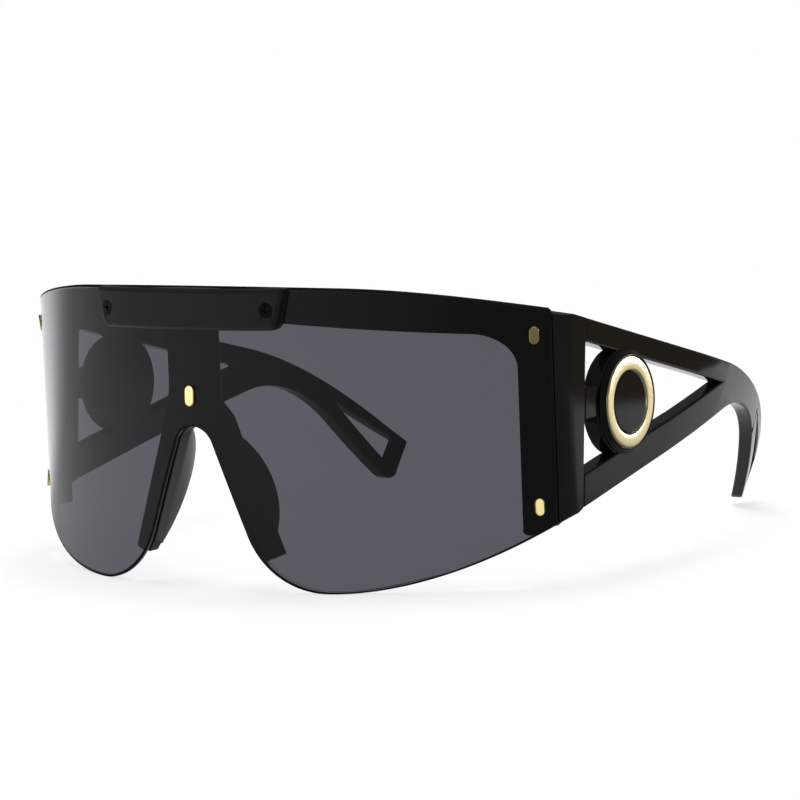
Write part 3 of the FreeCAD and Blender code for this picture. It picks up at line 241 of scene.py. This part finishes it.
def make_lens(material):
    """Shield lens: columns along the wall's arc, at equal steps of the bottom edge's length. Each column is
    a closed loop: up the front face, over the rounded top edge, down the back face, round the bottom edge.
    A point lies at its depth inside the front radius, and its height is measured at its own x. The bottom
    edge is eased behind. The mark is 1 on a painted dark edge, painted shade for the light lost along the
    tinted edge: a line along the front of the bottom edge, the top edge and the two ends."""
    samples, columns = 8001, 361
    fine = np.linspace(-LENS_HALF, LENS_HALF, samples)
    low = lens_edges(fine)[0]
    length = np.concatenate([[0], np.cumsum(np.hypot(np.diff(fine), np.diff(low)))])
    x = np.interp(np.linspace(0, length[-1], columns), length, fine)
    lean = np.arcsin(x / LENS_RADIUS)[:, None]
    edge, eased = LENS_EDGE, LENS_EASE
    # Shares of the way up a face, and the share at its lowest and highest part that the painted dark edge
    # line takes
    up = np.array([0, 0.0035, 0.0045, 0.15, 0.4, 0.6, 0.85, 0.9955, 0.9965, 1])
    painted_edge_share = 0.004
    on_line = np.abs(up - 0.5) > 0.5 - painted_edge_share
    # Depths at which the bottom edge turns from clear to the painted dark edge
    seam = np.array([0.55, 0.45])
    turn = np.linspace(0, math.pi / 2, 5)
    over, short = np.sin(turn), 1 - np.cos(turn)
    # Depth, rise from the bottom, share of the way up, height over the top in edge roundings, and mark
    depth, rise, share, crest, painted_edge_shade = join_sections([
        # Front face, top edge's front and back, back face
        (0 * up, edge, up, 0, on_line),
        (edge * short, edge, 1, over, 1),
        (LENS_THICK - edge * (1 - over), edge, 1, np.cos(turn), 1),
        (LENS_THICK, eased, 1 - up, 0, 0),
        # Bottom edge's eased back, its middle and its front
        (LENS_THICK - eased * short, eased * (1 - over), 0, 0, 0),
        (seam, 0, 0, 0, np.array([0, 1])),
        (edge * (1 - over), edge * short, 0, 0, 1),
    ])
    radius = LENS_RADIUS - depth
    px = radius * np.sin(lean)
    py = LENS_RADIUS - radius * np.cos(lean)
    bottom, top = lens_edges(px)
    slope = np.gradient(lens_edges(x)[0], x)
    # The rise is taken across the slanting edge, up to this many times as high
    most_stretch = 3.0
    low = bottom + np.minimum(np.sqrt(1 + slope ** 2), most_stretch)[:, None] * rise
    pz = low + (top - edge - low) * share + edge * crest
    points = np.stack([px, py, pz], axis=-1).reshape(-1, 3)
    # Mark of the painted shade: 1 on the dark edge line and on both ends of the lens
    rim = painted_edge_shade + 0 * px
    rim[[0, -1]] = 1.0
    add_piece("shield_lens_polished", points, ring_faces(columns, len(depth)), "front",
              ["shield_lens"], material, rim.ravel())


# Medallion


def add_turned(part, side, tag, profile, faces_between, count, material):
    """Profile of (radius, height) turned about the medallion's axis: the point at angle a is the boss's
    middle plus radius times (side times cos a, sin a) in the side plane, and height outwards from the
    temple's face."""
    a = np.arange(count) * TAU / count
    radius, height = profile[:, 0, None], profile[:, 1, None]
    x = side * (FACE_X + height) + 0 * a
    y = BOSS_Y + side * radius * np.cos(a)
    z = BOSS_Z + radius * np.sin(a)
    points = np.stack([x, y, z], axis=-1).reshape(-1, 3)
    node = "medallion_" + part + "_" + tag
    add_piece(node + "_turned", points, faces_between(len(profile), count), "temple_" + tag, [node],
              material)


def make_bezel(side, tag, material):
    """Cup with a three-step rim: each step's edge is softened, and the floor closes it inside."""
    base, step, low = BEZEL_RADIUS, BEZEL_STEP, SEAT_GAP
    foot_width = 0.3
    rim = soften([
        (base - foot_width, low),
        (base, low),
        (base, low + step),
        (base - step, low + step),
        (base - step, low + 2 * step),
        (base - 2 * step, low + 2 * step),
        (base - 2 * step, low + 3 * step),
        (WELL_RADIUS, low + 3 * step),
        (WELL_RADIUS, WELL_FLOOR),
        (WELL_FLOOR_END, WELL_FLOOR),
    ], radius=0.14, steps=4)
    add_turned("bezel", side, tag, rim, ring_faces, 144, material)


def make_ring(side, tag, material):
    """Gold ring: flat foot, upright sides and a crest that falls with the square of the distance from the
    middle of its width, and with its ninth power at the two edges."""
    foot = WELL_FLOOR + SEAT_GAP
    crown_fall, edge_fall = 0.06, 0.30
    across = np.linspace(-1, 1, 25)
    middle, half = (RING_INNER + RING_OUTER) / 2, (RING_OUTER - RING_INNER) / 2
    crest = foot + RING_HEIGHT - crown_fall * across ** 2 - edge_fall * np.abs(across) ** 9
    section = np.concatenate([
        [(RING_OUTER, foot)],
        np.stack([middle - half * across, crest], axis=-1),
        [(RING_INNER, foot)],
    ])
    add_turned("ring", side, tag, section, loop_faces, 144, material)


def make_centre(side, tag, material):
    """Domed disc: the height falls with the square of the radius, and the rim is rounded over."""
    rim, foot = CENTRE_RADIUS, WELL_FLOOR + SEAT_GAP
    top = foot + CENTRE_EDGE
    across = np.linspace(1, 0.02, 22)
    crown = top + CENTRE_DOME * (1 - across ** 2)
    # Foot's chamfer, wall and rim, as steps in from the rim, up from the foot and down from the top
    profile = np.concatenate([
        [(rim - 0.2, foot), (rim, foot + 0.1), (rim, top - 0.3), (rim - 0.06, top - 0.1)],
        np.stack([(rim - 0.25) * across, crown], axis=-1),
    ])
    add_turned("centre", side, tag, profile, ring_faces, 96, material)


# Lens pins


def make_lens_pin(name, x, z, head_size, lean_up, material):
    """Pin whose rings go from the shank's end up to the head: round on the shank, oblong on the head.
    An oblong ring is a circle of the half width moved up or down by the straight length. The head's height
    changes along it by the share lean_up, as pins are pressed in a little askew."""
    half_width, half_length, height = head_size
    shank, depth = PIN_SHANK_RADIUS, PIN_SHANK_DEPTH
    count = 48
    a = (np.arange(count) + 0.5) * TAU / count
    straight = (half_length - half_width) * np.sign(np.sin(a))
    turn = np.linspace(0, math.pi / 2, 6)
    chamfer, edge = 0.06, 0.22
    flat = np.array([0.26, 0.7, 1.1])
    inset = np.concatenate([[chamfer, 0.0], edge * (1 - np.cos(turn)), flat])
    level = np.concatenate([[0.0, chamfer], height - edge + edge * np.sin(turn), height + 0 * flat])
    across = (half_width - inset)[:, None] * np.cos(a)
    along = (half_width - inset)[:, None] * np.sin(a) + straight
    skew = 1 - abs(lean_up) - lean_up * along / half_length
    head = np.stack([across, along, level[:, None] * skew], axis=-1)
    end_taper, end_length = 0.15, 0.2
    shank_radius = np.array([shank - end_taper, shank, shank])[:, None]
    shank_level = np.array([-depth, -depth + end_length, 0.0])[:, None] + 0 * a
    pin = np.stack([shank_radius * np.cos(a), shank_radius * np.sin(a), shank_level], axis=-1)
    local = np.concatenate([pin, head]).reshape(-1, 3)
    lean = x / LENS_RADIUS
    outward = np.array([lean, -math.sqrt(1 - lean * lean), 0.0])
    sideways = np.cross([0.0, 0.0, 1.0], outward)
    foot = np.array([0.0, LENS_RADIUS, z]) + outward * (LENS_RADIUS + SEAT_GAP)
    points = foot + local @ np.array([sideways, [0.0, 0.0, 1.0], outward])
    add_piece(name + "_polished", points, ring_faces(len(local) // count, count), "front", [name],
              material)


# Nose pads


def make_nose_pad(side, tag, material):
    """Pad behind a nose leg. Along the leg, its rear edge is an arc. Across, both faces start flush with the
    leg and close in a round rear edge: the half thickness falls as the square root of 1 minus the cube of
    the share of the way back. Its front lies on the leg's back, a cylinder about the lens's centre, and a
    thin skin runs on over the leg's wall up to the lens."""
    half, depth, thick, skin = PAD_HALF, PAD_DEPTH, PAD_THICK, PAD_SKIN
    run, fall, notch_x, notch_z = notch_side()
    middle = half - PAD_ABOVE_SIDE
    origin_x = notch_x + middle * run
    origin_y = LENS_RADIUS - math.sqrt(LEG_BACK ** 2 - origin_x ** 2)
    origin = np.array([side * origin_x, origin_y, notch_z - middle * fall])
    up = np.array([-side * run, 0.0, fall])
    flare = math.radians(PAD_FLARE)
    back = np.array([side * math.sin(flare), math.cos(flare), 0.0])
    back = back - up * (back @ up)
    back = back / np.linalg.norm(back)
    out = side * np.cross(back, up)
    end_gap = 0.25
    along = np.linspace(-1, 1, 61) * (half - end_gap)
    arc = (half ** 2 + depth ** 2) / (2 * depth)
    rear = depth - arc + np.sqrt(arc ** 2 - along ** 2)
    share = np.sin(np.linspace(0, math.pi / 2, 15))
    thin = (thick + skin) * np.sqrt(1 - share ** 3)
    forward = np.array([1, 0.66, 0.33])
    wall_gap = 0.01
    # Share of the way back, share of the way ahead over the wall, and distance out from the wall
    way, ahead, off = join_sections([
        # Skin's outer face, the pad's two faces, the step in to the wall, the skin's inner face
        (0, forward, -skin),
        (share, 0, (thick - skin - thin) / 2),
        (share[-2::-1], 0, (thick - skin + thin[-2::-1]) / 2),
        (np.array([0]), 0, -wall_gap),
        (0, forward[::-1], -wall_gap),
    ])
    # Below its straight part the leg follows the lobe's arc
    past = np.maximum(-LEG_STRAIGHT - along, 0)
    bend = (LOBE_RADIUS - np.sqrt(LOBE_RADIUS ** 2 - past ** 2))[:, None] * (1 - way)
    base = origin + along[:, None, None] * up + (off + bend)[..., None] * out
    # Distance from each base point straight back to the leg's back
    seat = LENS_RADIUS - np.sqrt((LEG_BACK - SEAT_GAP) ** 2 - base[..., 0] ** 2) - base[..., 1]
    least_reach = 0.15
    reach = np.maximum(rear[:, None] - seat, least_reach)
    # The skin's length ahead grows from none at its lower end to the wall's depth
    wall_depth, skin_start, skin_growth = 3.15, -14.5, 1.5
    cover = wall_depth * np.clip((along - skin_start) / skin_growth, 0, 1)
    points = base + (reach * way)[..., None] * back
    points[..., 1] += seat - cover[:, None] * ahead
    add_piece("nose_pad_" + tag + "_moulded", points.reshape(-1, 3), ring_faces(len(along), len(way)),
              "front", ["nose_pad_" + tag], material)


# Nodes of the finishes


def new_group(name, inputs, outputs):
    """Empty shader node group with float, vector or colour sockets, and its two ends."""
    group = bpy.data.node_groups.new(name, "ShaderNodeTree")
    for label, kind, default in inputs:
        socket = group.interface.new_socket(label, in_out="INPUT", socket_type=kind)
        if default is not None:
            socket.default_value = default
    for label, kind in outputs:
        group.interface.new_socket(label, in_out="OUTPUT", socket_type=kind)
    start = group.nodes.new("NodeGroupInput")
    end = group.nodes.new("NodeGroupOutput")
    return group, start, end


def place_group(tree, group, vector):
    """Node group placed in a tree, on the given coordinates."""
    node = tree.nodes.new("ShaderNodeGroup")
    node.node_tree = group
    tree.links.new(vector, node.inputs["Vector"])
    return node


def feed(tree, socket, value):
    """Socket linked to another one, or set to a number or colour."""
    if isinstance(value, bpy.types.NodeSocket):
        tree.links.new(value, socket)
    else:
        socket.default_value = value


def combine(tree, operation, *values):
    """Math node on its values, each a socket or a number."""
    node = tree.nodes.new("ShaderNodeMath")
    node.operation = operation
    for socket, value in zip(node.inputs, values):
        feed(tree, socket, value)
    return node.outputs[0]


def mix_colours(tree, share, first, second):
    """Colour from first to second by the share. A Mix node has its two colours at inputs 6 and 7, and their
    mix at output 2."""
    node = tree.nodes.new("ShaderNodeMix")
    node.data_type = "RGBA"
    feed(tree, node.inputs[0], share)
    feed(tree, node.inputs[6], first)
    feed(tree, node.inputs[7], second)
    return node.outputs[2]


def mix_shaders(tree, share, first, second):
    """Shader from first to second by the share."""
    node = tree.nodes.new("ShaderNodeMixShader")
    for socket, value in zip(node.inputs, (share, first, second)):
        tree.links.new(value, socket)
    return node.outputs[0]


def reach_beyond(tree, vector, direction, start, full):
    """0 before start, 1 after full, along a direction from the vector."""
    along = tree.nodes.new("ShaderNodeVectorMath")
    along.operation = "DOT_PRODUCT"
    along.inputs[1].default_value = direction
    tree.links.new(vector, along.inputs[0])
    ramp = tree.nodes.new("ShaderNodeMapRange")
    ramp.interpolation_type = "SMOOTHSTEP"
    ramp.inputs["From Min"].default_value = start
    ramp.inputs["From Max"].default_value = full
    tree.links.new(along.outputs["Value"], ramp.inputs["Value"])
    return ramp.outputs["Result"]


def add_noise(tree, vector, scale, detail):
    """Noise over the coordinates, from 0 to 1."""
    noise = tree.nodes.new("ShaderNodeTexNoise")
    noise.inputs["Scale"].default_value = scale
    noise.inputs["Detail"].default_value = detail
    tree.links.new(vector, noise.inputs["Vector"])
    return noise.outputs["Fac"]


# Finishes


def moulded_surface():
    """Moulded plastic: broad waviness and fine grain for the bump, patchy polish, faint tone drift."""
    group, start, end = new_group("moulded_surface", [
        ("Vector", "NodeSocketVector", None),
        ("Tone", "NodeSocketColor", (0.01, 0.01, 0.01, 1)),
        ("Worn tone", "NodeSocketColor", (0.03, 0.03, 0.03, 1)),
        ("Polish", "NodeSocketFloat", 0.08),
        ("Polish drift", "NodeSocketFloat", 0.05),
        ("Grain", "NodeSocketFloat", 0.2),
    ], [("Colour", "NodeSocketColor"), ("Roughness", "NodeSocketFloat"), ("Height", "NodeSocketFloat")])
    given = start.outputs
    broad = add_noise(group, given["Vector"], scale=70.0, detail=2.0)
    fine = add_noise(group, given["Vector"], scale=2600.0, detail=3.0)
    tone = mix_colours(group, broad, given["Tone"], given["Worn tone"])
    drift = combine(group, "MULTIPLY_ADD", broad, given["Polish drift"], given["Polish"])
    relief = combine(group, "MULTIPLY_ADD", fine, given["Grain"], broad)
    group.links.new(tone, end.inputs["Colour"])
    group.links.new(drift, end.inputs["Roughness"])
    group.links.new(relief, end.inputs["Height"])
    return group


def new_material(name):
    """Material with its node tree, its Principled shader and its object coordinates."""
    material = bpy.data.materials.new(name)
    material.use_nodes = True
    tree = material.node_tree
    place = tree.nodes.new("ShaderNodeTexCoord").outputs["Object"]
    return material, tree, tree.nodes["Principled BSDF"], place


def plastic(name, surface, tone, worn, polish, drift, grain, bump):
    """Moulded plastic finish from the shared surface group."""
    material, tree, shader, place = new_material(name)
    group = place_group(tree, surface, place)
    group.inputs["Tone"].default_value = (*tone, 1)
    group.inputs["Worn tone"].default_value = (*worn, 1)
    group.inputs["Polish"].default_value = polish
    group.inputs["Polish drift"].default_value = drift
    group.inputs["Grain"].default_value = grain
    tree.links.new(group.outputs["Colour"], shader.inputs["Base Color"])
    tree.links.new(group.outputs["Roughness"], shader.inputs["Roughness"])
    relief = tree.nodes.new("ShaderNodeBump")
    relief.inputs["Strength"].default_value = bump
    relief.inputs["Distance"].default_value = 0.2 * MM
    tree.links.new(group.outputs["Height"], relief.inputs["Height"])
    tree.links.new(relief.outputs["Normal"], shader.inputs["Normal"])
    return material


def frame_plastic(name, surface, leg_satin, **gloss):
    """Gloss plastic that turns satin on the nose legs, where the mould is textured: below 46 to 36 mm, and
    in front of a plane 56 to 58 mm ahead of the middle."""
    material = plastic(name, surface, **gloss)
    tree = material.node_tree
    place = tree.nodes["Texture Coordinate"].outputs["Object"]
    low = reach_beyond(tree, place, (0, 0, -1), -46 * MM, -36 * MM)
    inside = reach_beyond(tree, place, (0, -1, 0), 56 * MM, 58 * MM)
    legs = combine(tree, "MULTIPLY", low, inside)
    roughness = tree.nodes["Principled BSDF"].inputs["Roughness"]
    polish = roughness.links[0].from_socket
    tree.links.new(combine(tree, "MULTIPLY_ADD", legs, leg_satin, polish), roughness)
    return material


def metal(name, surface, **finish):
    """Metal with the same surface as the plastic."""
    material = plastic(name, surface, **finish)
    material.node_tree.nodes["Principled BSDF"].inputs["Metallic"].default_value = 1.0
    return material


def smoked_lens(name, surface):
    """Smoked clear plastic: tinted where light crosses a face, polished, with a dark dull edge where the
    mark is 1, painted shade for the light lost along the tinted edge; it lets tinted light through to the
    floor."""
    material, tree, shader, place = new_material(name)
    group = place_group(tree, surface, place)
    group.inputs["Tone"].default_value = (0.099, 0.0995, 0.1215, 1)
    group.inputs["Worn tone"].default_value = (0.102, 0.1025, 0.125, 1)
    group.inputs["Polish"].default_value = 0.0
    group.inputs["Polish drift"].default_value = 0.015
    rim = tree.nodes.new("ShaderNodeAttribute")
    rim.attribute_name = "mark"
    # Painted shade on the edge: where the mark is 1 the tint goes near black
    painted_edge_tone = (0.012, 0.012, 0.014, 1)
    tint = mix_colours(tree, rim.outputs["Fac"], group.outputs["Colour"], painted_edge_tone)
    tree.links.new(tint, shader.inputs["Base Color"])
    tree.links.new(group.outputs["Roughness"], shader.inputs["Roughness"])
    shader.inputs["Transmission Weight"].default_value = 1.0
    shader.inputs["IOR"].default_value = 1.55
    # Dark dull shader over the edge, painted shade that draws it as a black line
    painted_edge_shade = tree.nodes.new("ShaderNodeBsdfDiffuse")
    painted_edge_shade.inputs["Color"].default_value = (0.008, 0.008, 0.009, 1)
    body = mix_shaders(tree, rim.outputs["Fac"], shader.outputs[0], painted_edge_shade.outputs[0])
    clear = tree.nodes.new("ShaderNodeBsdfTransparent")
    clear.inputs["Color"].default_value = (0.45, 0.45, 0.48, 1)
    path = tree.nodes.new("ShaderNodeLightPath")
    result = mix_shaders(tree, path.outputs["Is Shadow Ray"], body, clear.outputs[0])
    tree.links.new(result, tree.nodes["Material Output"].inputs["Surface"])
    return material


SURFACE = moulded_surface()
BLACK = {"tone": (0.003, 0.003, 0.003), "worn": (0.005, 0.005, 0.005), "bump": 0.03}
GLOSS = {"polish": 0.04, "drift": 0.05, "grain": 0.01}
GLOSS_BLACK = plastic("gloss_black_finish", SURFACE, **BLACK, **GLOSS)
FRAME_BLACK = frame_plastic("frame_black_finish", SURFACE, leg_satin=0.3, **BLACK, **GLOSS)
BEZEL_BLACK = plastic("bezel_black_finish", SURFACE, **BLACK, polish=0.16, drift=0.06, grain=0.02)
SATIN_BLACK = plastic("satin_black_finish", SURFACE, tone=(0.006, 0.006, 0.0063), worn=(0.009, 0.009, 0.0095),
                      polish=0.20, drift=0.08, grain=0.3, bump=0.1)
GOLD = metal("gold_finish", SURFACE, tone=(0.98, 0.83, 0.48), worn=(1.0, 0.87, 0.54),
             polish=0.19, drift=0.05, grain=0.02, bump=0.01)
PIN_GOLD = metal("pin_gold_finish", SURFACE, tone=(1.0, 0.82, 0.36), worn=(1.0, 0.86, 0.42),
                 polish=0.13, drift=0.04, grain=0.02, bump=0.01)
DARK_STEEL = metal("dark_steel_finish", SURFACE, tone=(0.02, 0.02, 0.02), worn=(0.04, 0.04, 0.04),
                   polish=0.25, drift=0.15, grain=0.3, bump=0.1)
HINGE_STEEL = metal("hinge_steel_finish", SURFACE, tone=(0.018, 0.018, 0.019), worn=(0.030, 0.030, 0.031),
                    polish=0.30, drift=0.15, grain=0.5, bump=0.1)
PAD_BLACK = plastic("pad_black_finish", SURFACE, tone=(0.036, 0.036, 0.0365), worn=(0.044, 0.044, 0.045),
                    polish=0.34, drift=0.08, grain=0.5, bump=0.2)
LENS = smoked_lens("smoked_lens_finish", SURFACE)

# Finish of a solid that stays, by its material slot
FINISH = {
    "gloss_black": GLOSS_BLACK,
    "satin_black": SATIN_BLACK,
    "dark_steel": DARK_STEEL,
    "hinge_steel": HINGE_STEEL,
}

# Rounding of a solid's edges by the start of its name, millimetres
ROUNDING = {
    "front_frame": 0.18,
    "brow_plate": 0.12,
    "temple_arm": 0.5,
    "hinge": 0.1,
    "brow_screw": 0.06,
}


def dress_node(name, node):
    """Finish and softened edges of a solid that stays: corners welded, sharp edges rounded, flat faces
    kept flat by weighting the normals with the faces' areas."""
    slot = node.data.materials[0].name
    node.data.materials[0] = FRAME_BLACK if name == "front_frame" else FINISH[slot]
    weld = node.modifiers.new("weld", "WELD")
    weld.merge_threshold = 1e-6
    bevel = node.modifiers.new("rounded_edges", "BEVEL")
    bevel.width = next(width for start, width in ROUNDING.items() if name.startswith(start)) * MM
    bevel.segments = 3
    bevel.limit_method = "ANGLE"
    bevel.angle_limit = math.radians(35)
    bevel.use_clamp_overlap = False
    even = node.modifiers.new("even_normals", "WEIGHTED_NORMAL")
    even.weight = 50


# Pieces

make_lens(LENS)
for tag, side in SIDES:
    make_bezel(side, tag, BEZEL_BLACK)
    make_ring(side, tag, GOLD)
    make_centre(side, tag, GLOSS_BLACK)
for tag, side in SIDES:
    make_nose_pad(side, tag, PAD_BLACK)
make_lens_pin("lens_pin_bridge", 0.0, PIN_BRIDGE, BRIDGE_HEAD, BRIDGE_LEAN, PIN_GOLD)
for tag, side in SIDES:
    make_lens_pin("lens_pin_upper_" + tag, side * PIN_X, PIN_UP, SIDE_HEAD, UPPER_LEAN, PIN_GOLD)
    make_lens_pin("lens_pin_lower_" + tag, side * PIN_X, PIN_LOW, SIDE_HEAD, LOWER_LEAN, PIN_GOLD)

GOLD_PIECES = bpy.data.collections.new("gold_pieces")
for piece in bpy.context.scene.collection.objects:
    if piece.type == "MESH" and piece.data.materials[0] in (GOLD, PIN_GOLD):
        GOLD_PIECES.objects.link(piece)

for name, node in NODES.items():
    if not node.hide_render:
        dress_node(name, node)


# Floor, background, light and camera

# Tones that mirror rays see round the studio, by compass direction in degrees from +X towards +Y
WARM_DARK = (0.092, 0.077, 0.046)
FRONT_TONES = [(-180, 0.42), (-160, 0.36), (-135, 0.30), (-115, 0.27), (-82, 0.21), (-60, 0.15), (-40, 0.10),
               (-20, 0.10)]
RIGHT_TONES = {
    "Room": [(15, 0.09), (42, WARM_DARK), (58, WARM_DARK), (62, 0.18)],
    "Sheet": [(15, 0.12), (30, 0.34), (42, 0.42), (57, 0.53), (61, 0.80)],
}
BACK_TONES = [(67, 0.78), (80, 0.78), (100, 0.80), (125, 0.88), (140, 0.92), (155, 0.95), (163, 0.97),
              (168, 0.85), (172, 0.67), (176, 0.51), (180, 0.42)]
CEILING_TONE = (0.09, 0.09, 0.09, 1)

# Direction in which mirror rays see the pale sheet end, and the distances over which it fades, metres
SHEET_END = (0.52, 0.854, 0)
SHEET_END_FROM = 0.31
SHEET_END_TO = 0.37

# Camera fitted to the photograph: degrees, millimetres from the apex, metres, and lens in millimetres
CAMERA_AZIMUTH = 34.64
CAMERA_ELEVATION = 6.52
CAMERA_ROLL = -2.23
CAMERA_AIM = (17.23, 56.90, 36.59)
CAMERA_DISTANCE = 0.74678
CAMERA_LENS = 143.69


def studio_surroundings():
    """What mirror rays see round the glasses, by compass direction: a bright sweep behind and to the left,
    fading to a dim front and a dark warm room on the right. The sheet on the right stays pale near by."""
    group, start, end = new_group("studio_surroundings", [("Vector", "NodeSocketVector", None)],
                                  [("Room", "NodeSocketColor"), ("Sheet", "NodeSocketColor")])
    parts = group.nodes.new("ShaderNodeSeparateXYZ")
    group.links.new(start.outputs["Vector"], parts.inputs[0])
    compass = combine(group, "ARCTAN2", parts.outputs["Y"], parts.outputs["X"])
    turn = combine(group, "ADD", combine(group, "DIVIDE", compass, TAU), 0.5)
    for label, right in RIGHT_TONES.items():
        ramp = group.nodes.new("ShaderNodeValToRGB")
        stops = ramp.color_ramp.elements
        for n, (angle, tone) in enumerate(FRONT_TONES + right + BACK_TONES):
            place = angle / 360 + 0.5
            # A new ramp has two stops of its own
            stop = stops[n] if n < 2 else stops.new(place)
            stop.position = place
            stop.color = (*tone, 1) if isinstance(tone, tuple) else (tone, tone, tone, 1)
        group.links.new(turn, ramp.inputs[0])
        group.links.new(ramp.outputs["Color"], end.inputs[label])
    return group


def make_floor(surroundings):
    """Pale sheet under the glasses. The camera and the lens see it white with the shadow on it, all white
    further off; mirror rays see the studio's surroundings in it."""
    reach = 4.0
    corners = [(-reach, -reach, 0), (reach, -reach, 0), (reach, reach, 0), (-reach, reach, 0)]
    mesh = bpy.data.meshes.new("floor")
    mesh.from_pydata(corners, [], [(0, 1, 2, 3)])
    floor = bpy.data.objects.new("floor", mesh)
    bpy.context.scene.collection.objects.link(floor)
    material, tree, shader, place = new_material("floor_sheet")
    shader.inputs["Base Color"].default_value = (0.9, 0.9, 0.9, 1)
    shader.inputs["Roughness"].default_value = 0.9
    shader.inputs["Specular IOR Level"].default_value = 0.0
    path = tree.nodes.new("ShaderNodeLightPath")
    # Whiteness for the camera, which grows with the distance from the glasses, and through the lens
    away = tree.nodes.new("ShaderNodeVectorMath")
    away.operation = "LENGTH"
    tree.links.new(place, away.inputs[0])
    fade = tree.nodes.new("ShaderNodeMapRange")
    fade.inputs["From Min"].default_value = 0.10
    fade.inputs["From Max"].default_value = 0.32
    fade.inputs["To Min"].default_value = 0.62
    tree.links.new(away.outputs["Value"], fade.inputs["Value"])
    lens_whiteness = 0.92
    through = combine(tree, "MULTIPLY", path.outputs["Is Transmission Ray"], lens_whiteness)
    direct = combine(tree, "MULTIPLY", path.outputs["Is Camera Ray"], fade.outputs["Result"])
    whiteness = combine(tree, "MAXIMUM", through, direct)
    white = tree.nodes.new("ShaderNodeEmission")
    lit = mix_shaders(tree, whiteness, shader.outputs[0], white.outputs[0])
    # Surroundings for mirror rays
    room = place_group(tree, surroundings, place)
    beyond = reach_beyond(tree, place, SHEET_END, SHEET_END_FROM, SHEET_END_TO)
    tone = mix_colours(tree, beyond, room.outputs["Sheet"], room.outputs["Room"])
    mirrored = tree.nodes.new("ShaderNodeEmission")
    mirrored.inputs["Strength"].default_value = 1.2
    tree.links.new(tone, mirrored.inputs["Color"])
    in_mirror = combine(tree, "MINIMUM", path.outputs["Glossy Depth"], 1.0)
    result = mix_shaders(tree, in_mirror, lit, mirrored.outputs[0])
    tree.links.new(result, tree.nodes["Material Output"].inputs["Surface"])
    mesh.materials.append(material)


def make_world(surroundings):
    """White for what the camera and the lens see, the studio's surroundings under a dim ceiling for mirror
    rays, and even white light, a little dimmer, for the rest."""
    world = bpy.data.worlds.new("studio")
    bpy.context.scene.world = world
    world.use_nodes = True
    tree = world.node_tree
    sky = tree.nodes["Background"]
    place = tree.nodes.new("ShaderNodeTexCoord").outputs["Generated"]
    path = tree.nodes.new("ShaderNodeLightPath")
    room = place_group(tree, surroundings, place)
    ceiling = reach_beyond(tree, place, (0, 0, 1), 0.0, 0.06)
    mirrored = mix_colours(tree, ceiling, room.outputs["Room"], CEILING_TONE)
    in_mirror = combine(tree, "MINIMUM", path.outputs["Glossy Depth"], 1.0)
    tree.links.new(mix_colours(tree, in_mirror, (1, 1, 1, 1), mirrored), sky.inputs["Color"])
    dimming = combine(tree, "MULTIPLY", path.outputs["Is Diffuse Ray"], 0.3)
    tree.links.new(combine(tree, "SUBTRACT", 1.0, dimming), sky.inputs["Strength"])


def add_softbox(name, place, aim, width, power):
    """Square lamp at place facing aim, in metres, with its power in watts."""
    lamp = bpy.data.lights.new(name, "AREA")
    lamp.energy = power
    lamp.shape = "SQUARE"
    lamp.size = width
    piece = bpy.data.objects.new(name, lamp)
    piece.location = place
    piece.rotation_euler = (Vector(aim) - Vector(place)).to_track_quat("-Z", "Y").to_euler()
    bpy.context.scene.collection.objects.link(piece)
    return piece


def make_camera():
    """Camera on the photograph's axis: azimuth, elevation and roll about an aim point on the glasses."""
    azimuth, elevation, roll = np.radians([CAMERA_AZIMUTH, CAMERA_ELEVATION, CAMERA_ROLL])
    aim = (np.array(CAMERA_AIM) + APEX) * MM
    level = np.array([np.cos(azimuth), np.sin(azimuth), 0.0])
    ahead = np.array([-np.sin(azimuth), np.cos(azimuth), 0.0])
    back = np.array([0.0, 0.0, np.sin(elevation)]) - np.cos(elevation) * ahead
    rise = np.cross(back, level)
    right = np.cos(roll) * level + np.sin(roll) * rise
    up = np.cos(roll) * rise - np.sin(roll) * level
    data = bpy.data.cameras.new("view")
    data.sensor_width = 36.0
    data.lens = CAMERA_LENS
    data.clip_start = 0.01
    data.clip_end = 50.0
    camera = bpy.data.objects.new("view", data)
    pose = np.eye(4)
    pose[:3] = np.stack([right, up, back, aim + back * CAMERA_DISTANCE], axis=-1)
    camera.matrix_world = Matrix(pose.tolist())
    bpy.context.scene.collection.objects.link(camera)
    bpy.context.scene.camera = camera


SURROUNDINGS = studio_surroundings()
make_floor(SURROUNDINGS)
make_world(SURROUNDINGS)
OVERHEAD = add_softbox("overhead", place=(-0.1, 0.1, 1.0), aim=(0, 0, 0.03), width=0.7, power=8)
OVERHEAD.visible_glossy = False
# Cards that only the gold catches
for card in (
    add_softbox("right_rear", place=(0.58, 0.85, 0.05), aim=(0.075, 0, 0.04), width=0.22, power=2.6),
    add_softbox("left_front", place=(-0.52, -0.82, 0.10), aim=(0, -0.07, 0.04), width=0.2, power=0.18),
    add_softbox("right_front", place=(0.88, -0.42, 0.10), aim=(0.07, -0.04, 0.03), width=0.2, power=0.12),
):
    card.visible_diffuse = False
    card.light_linking.receiver_collection = GOLD_PIECES
make_camera()
bpy.context.scene.view_settings.view_transform = "Standard"
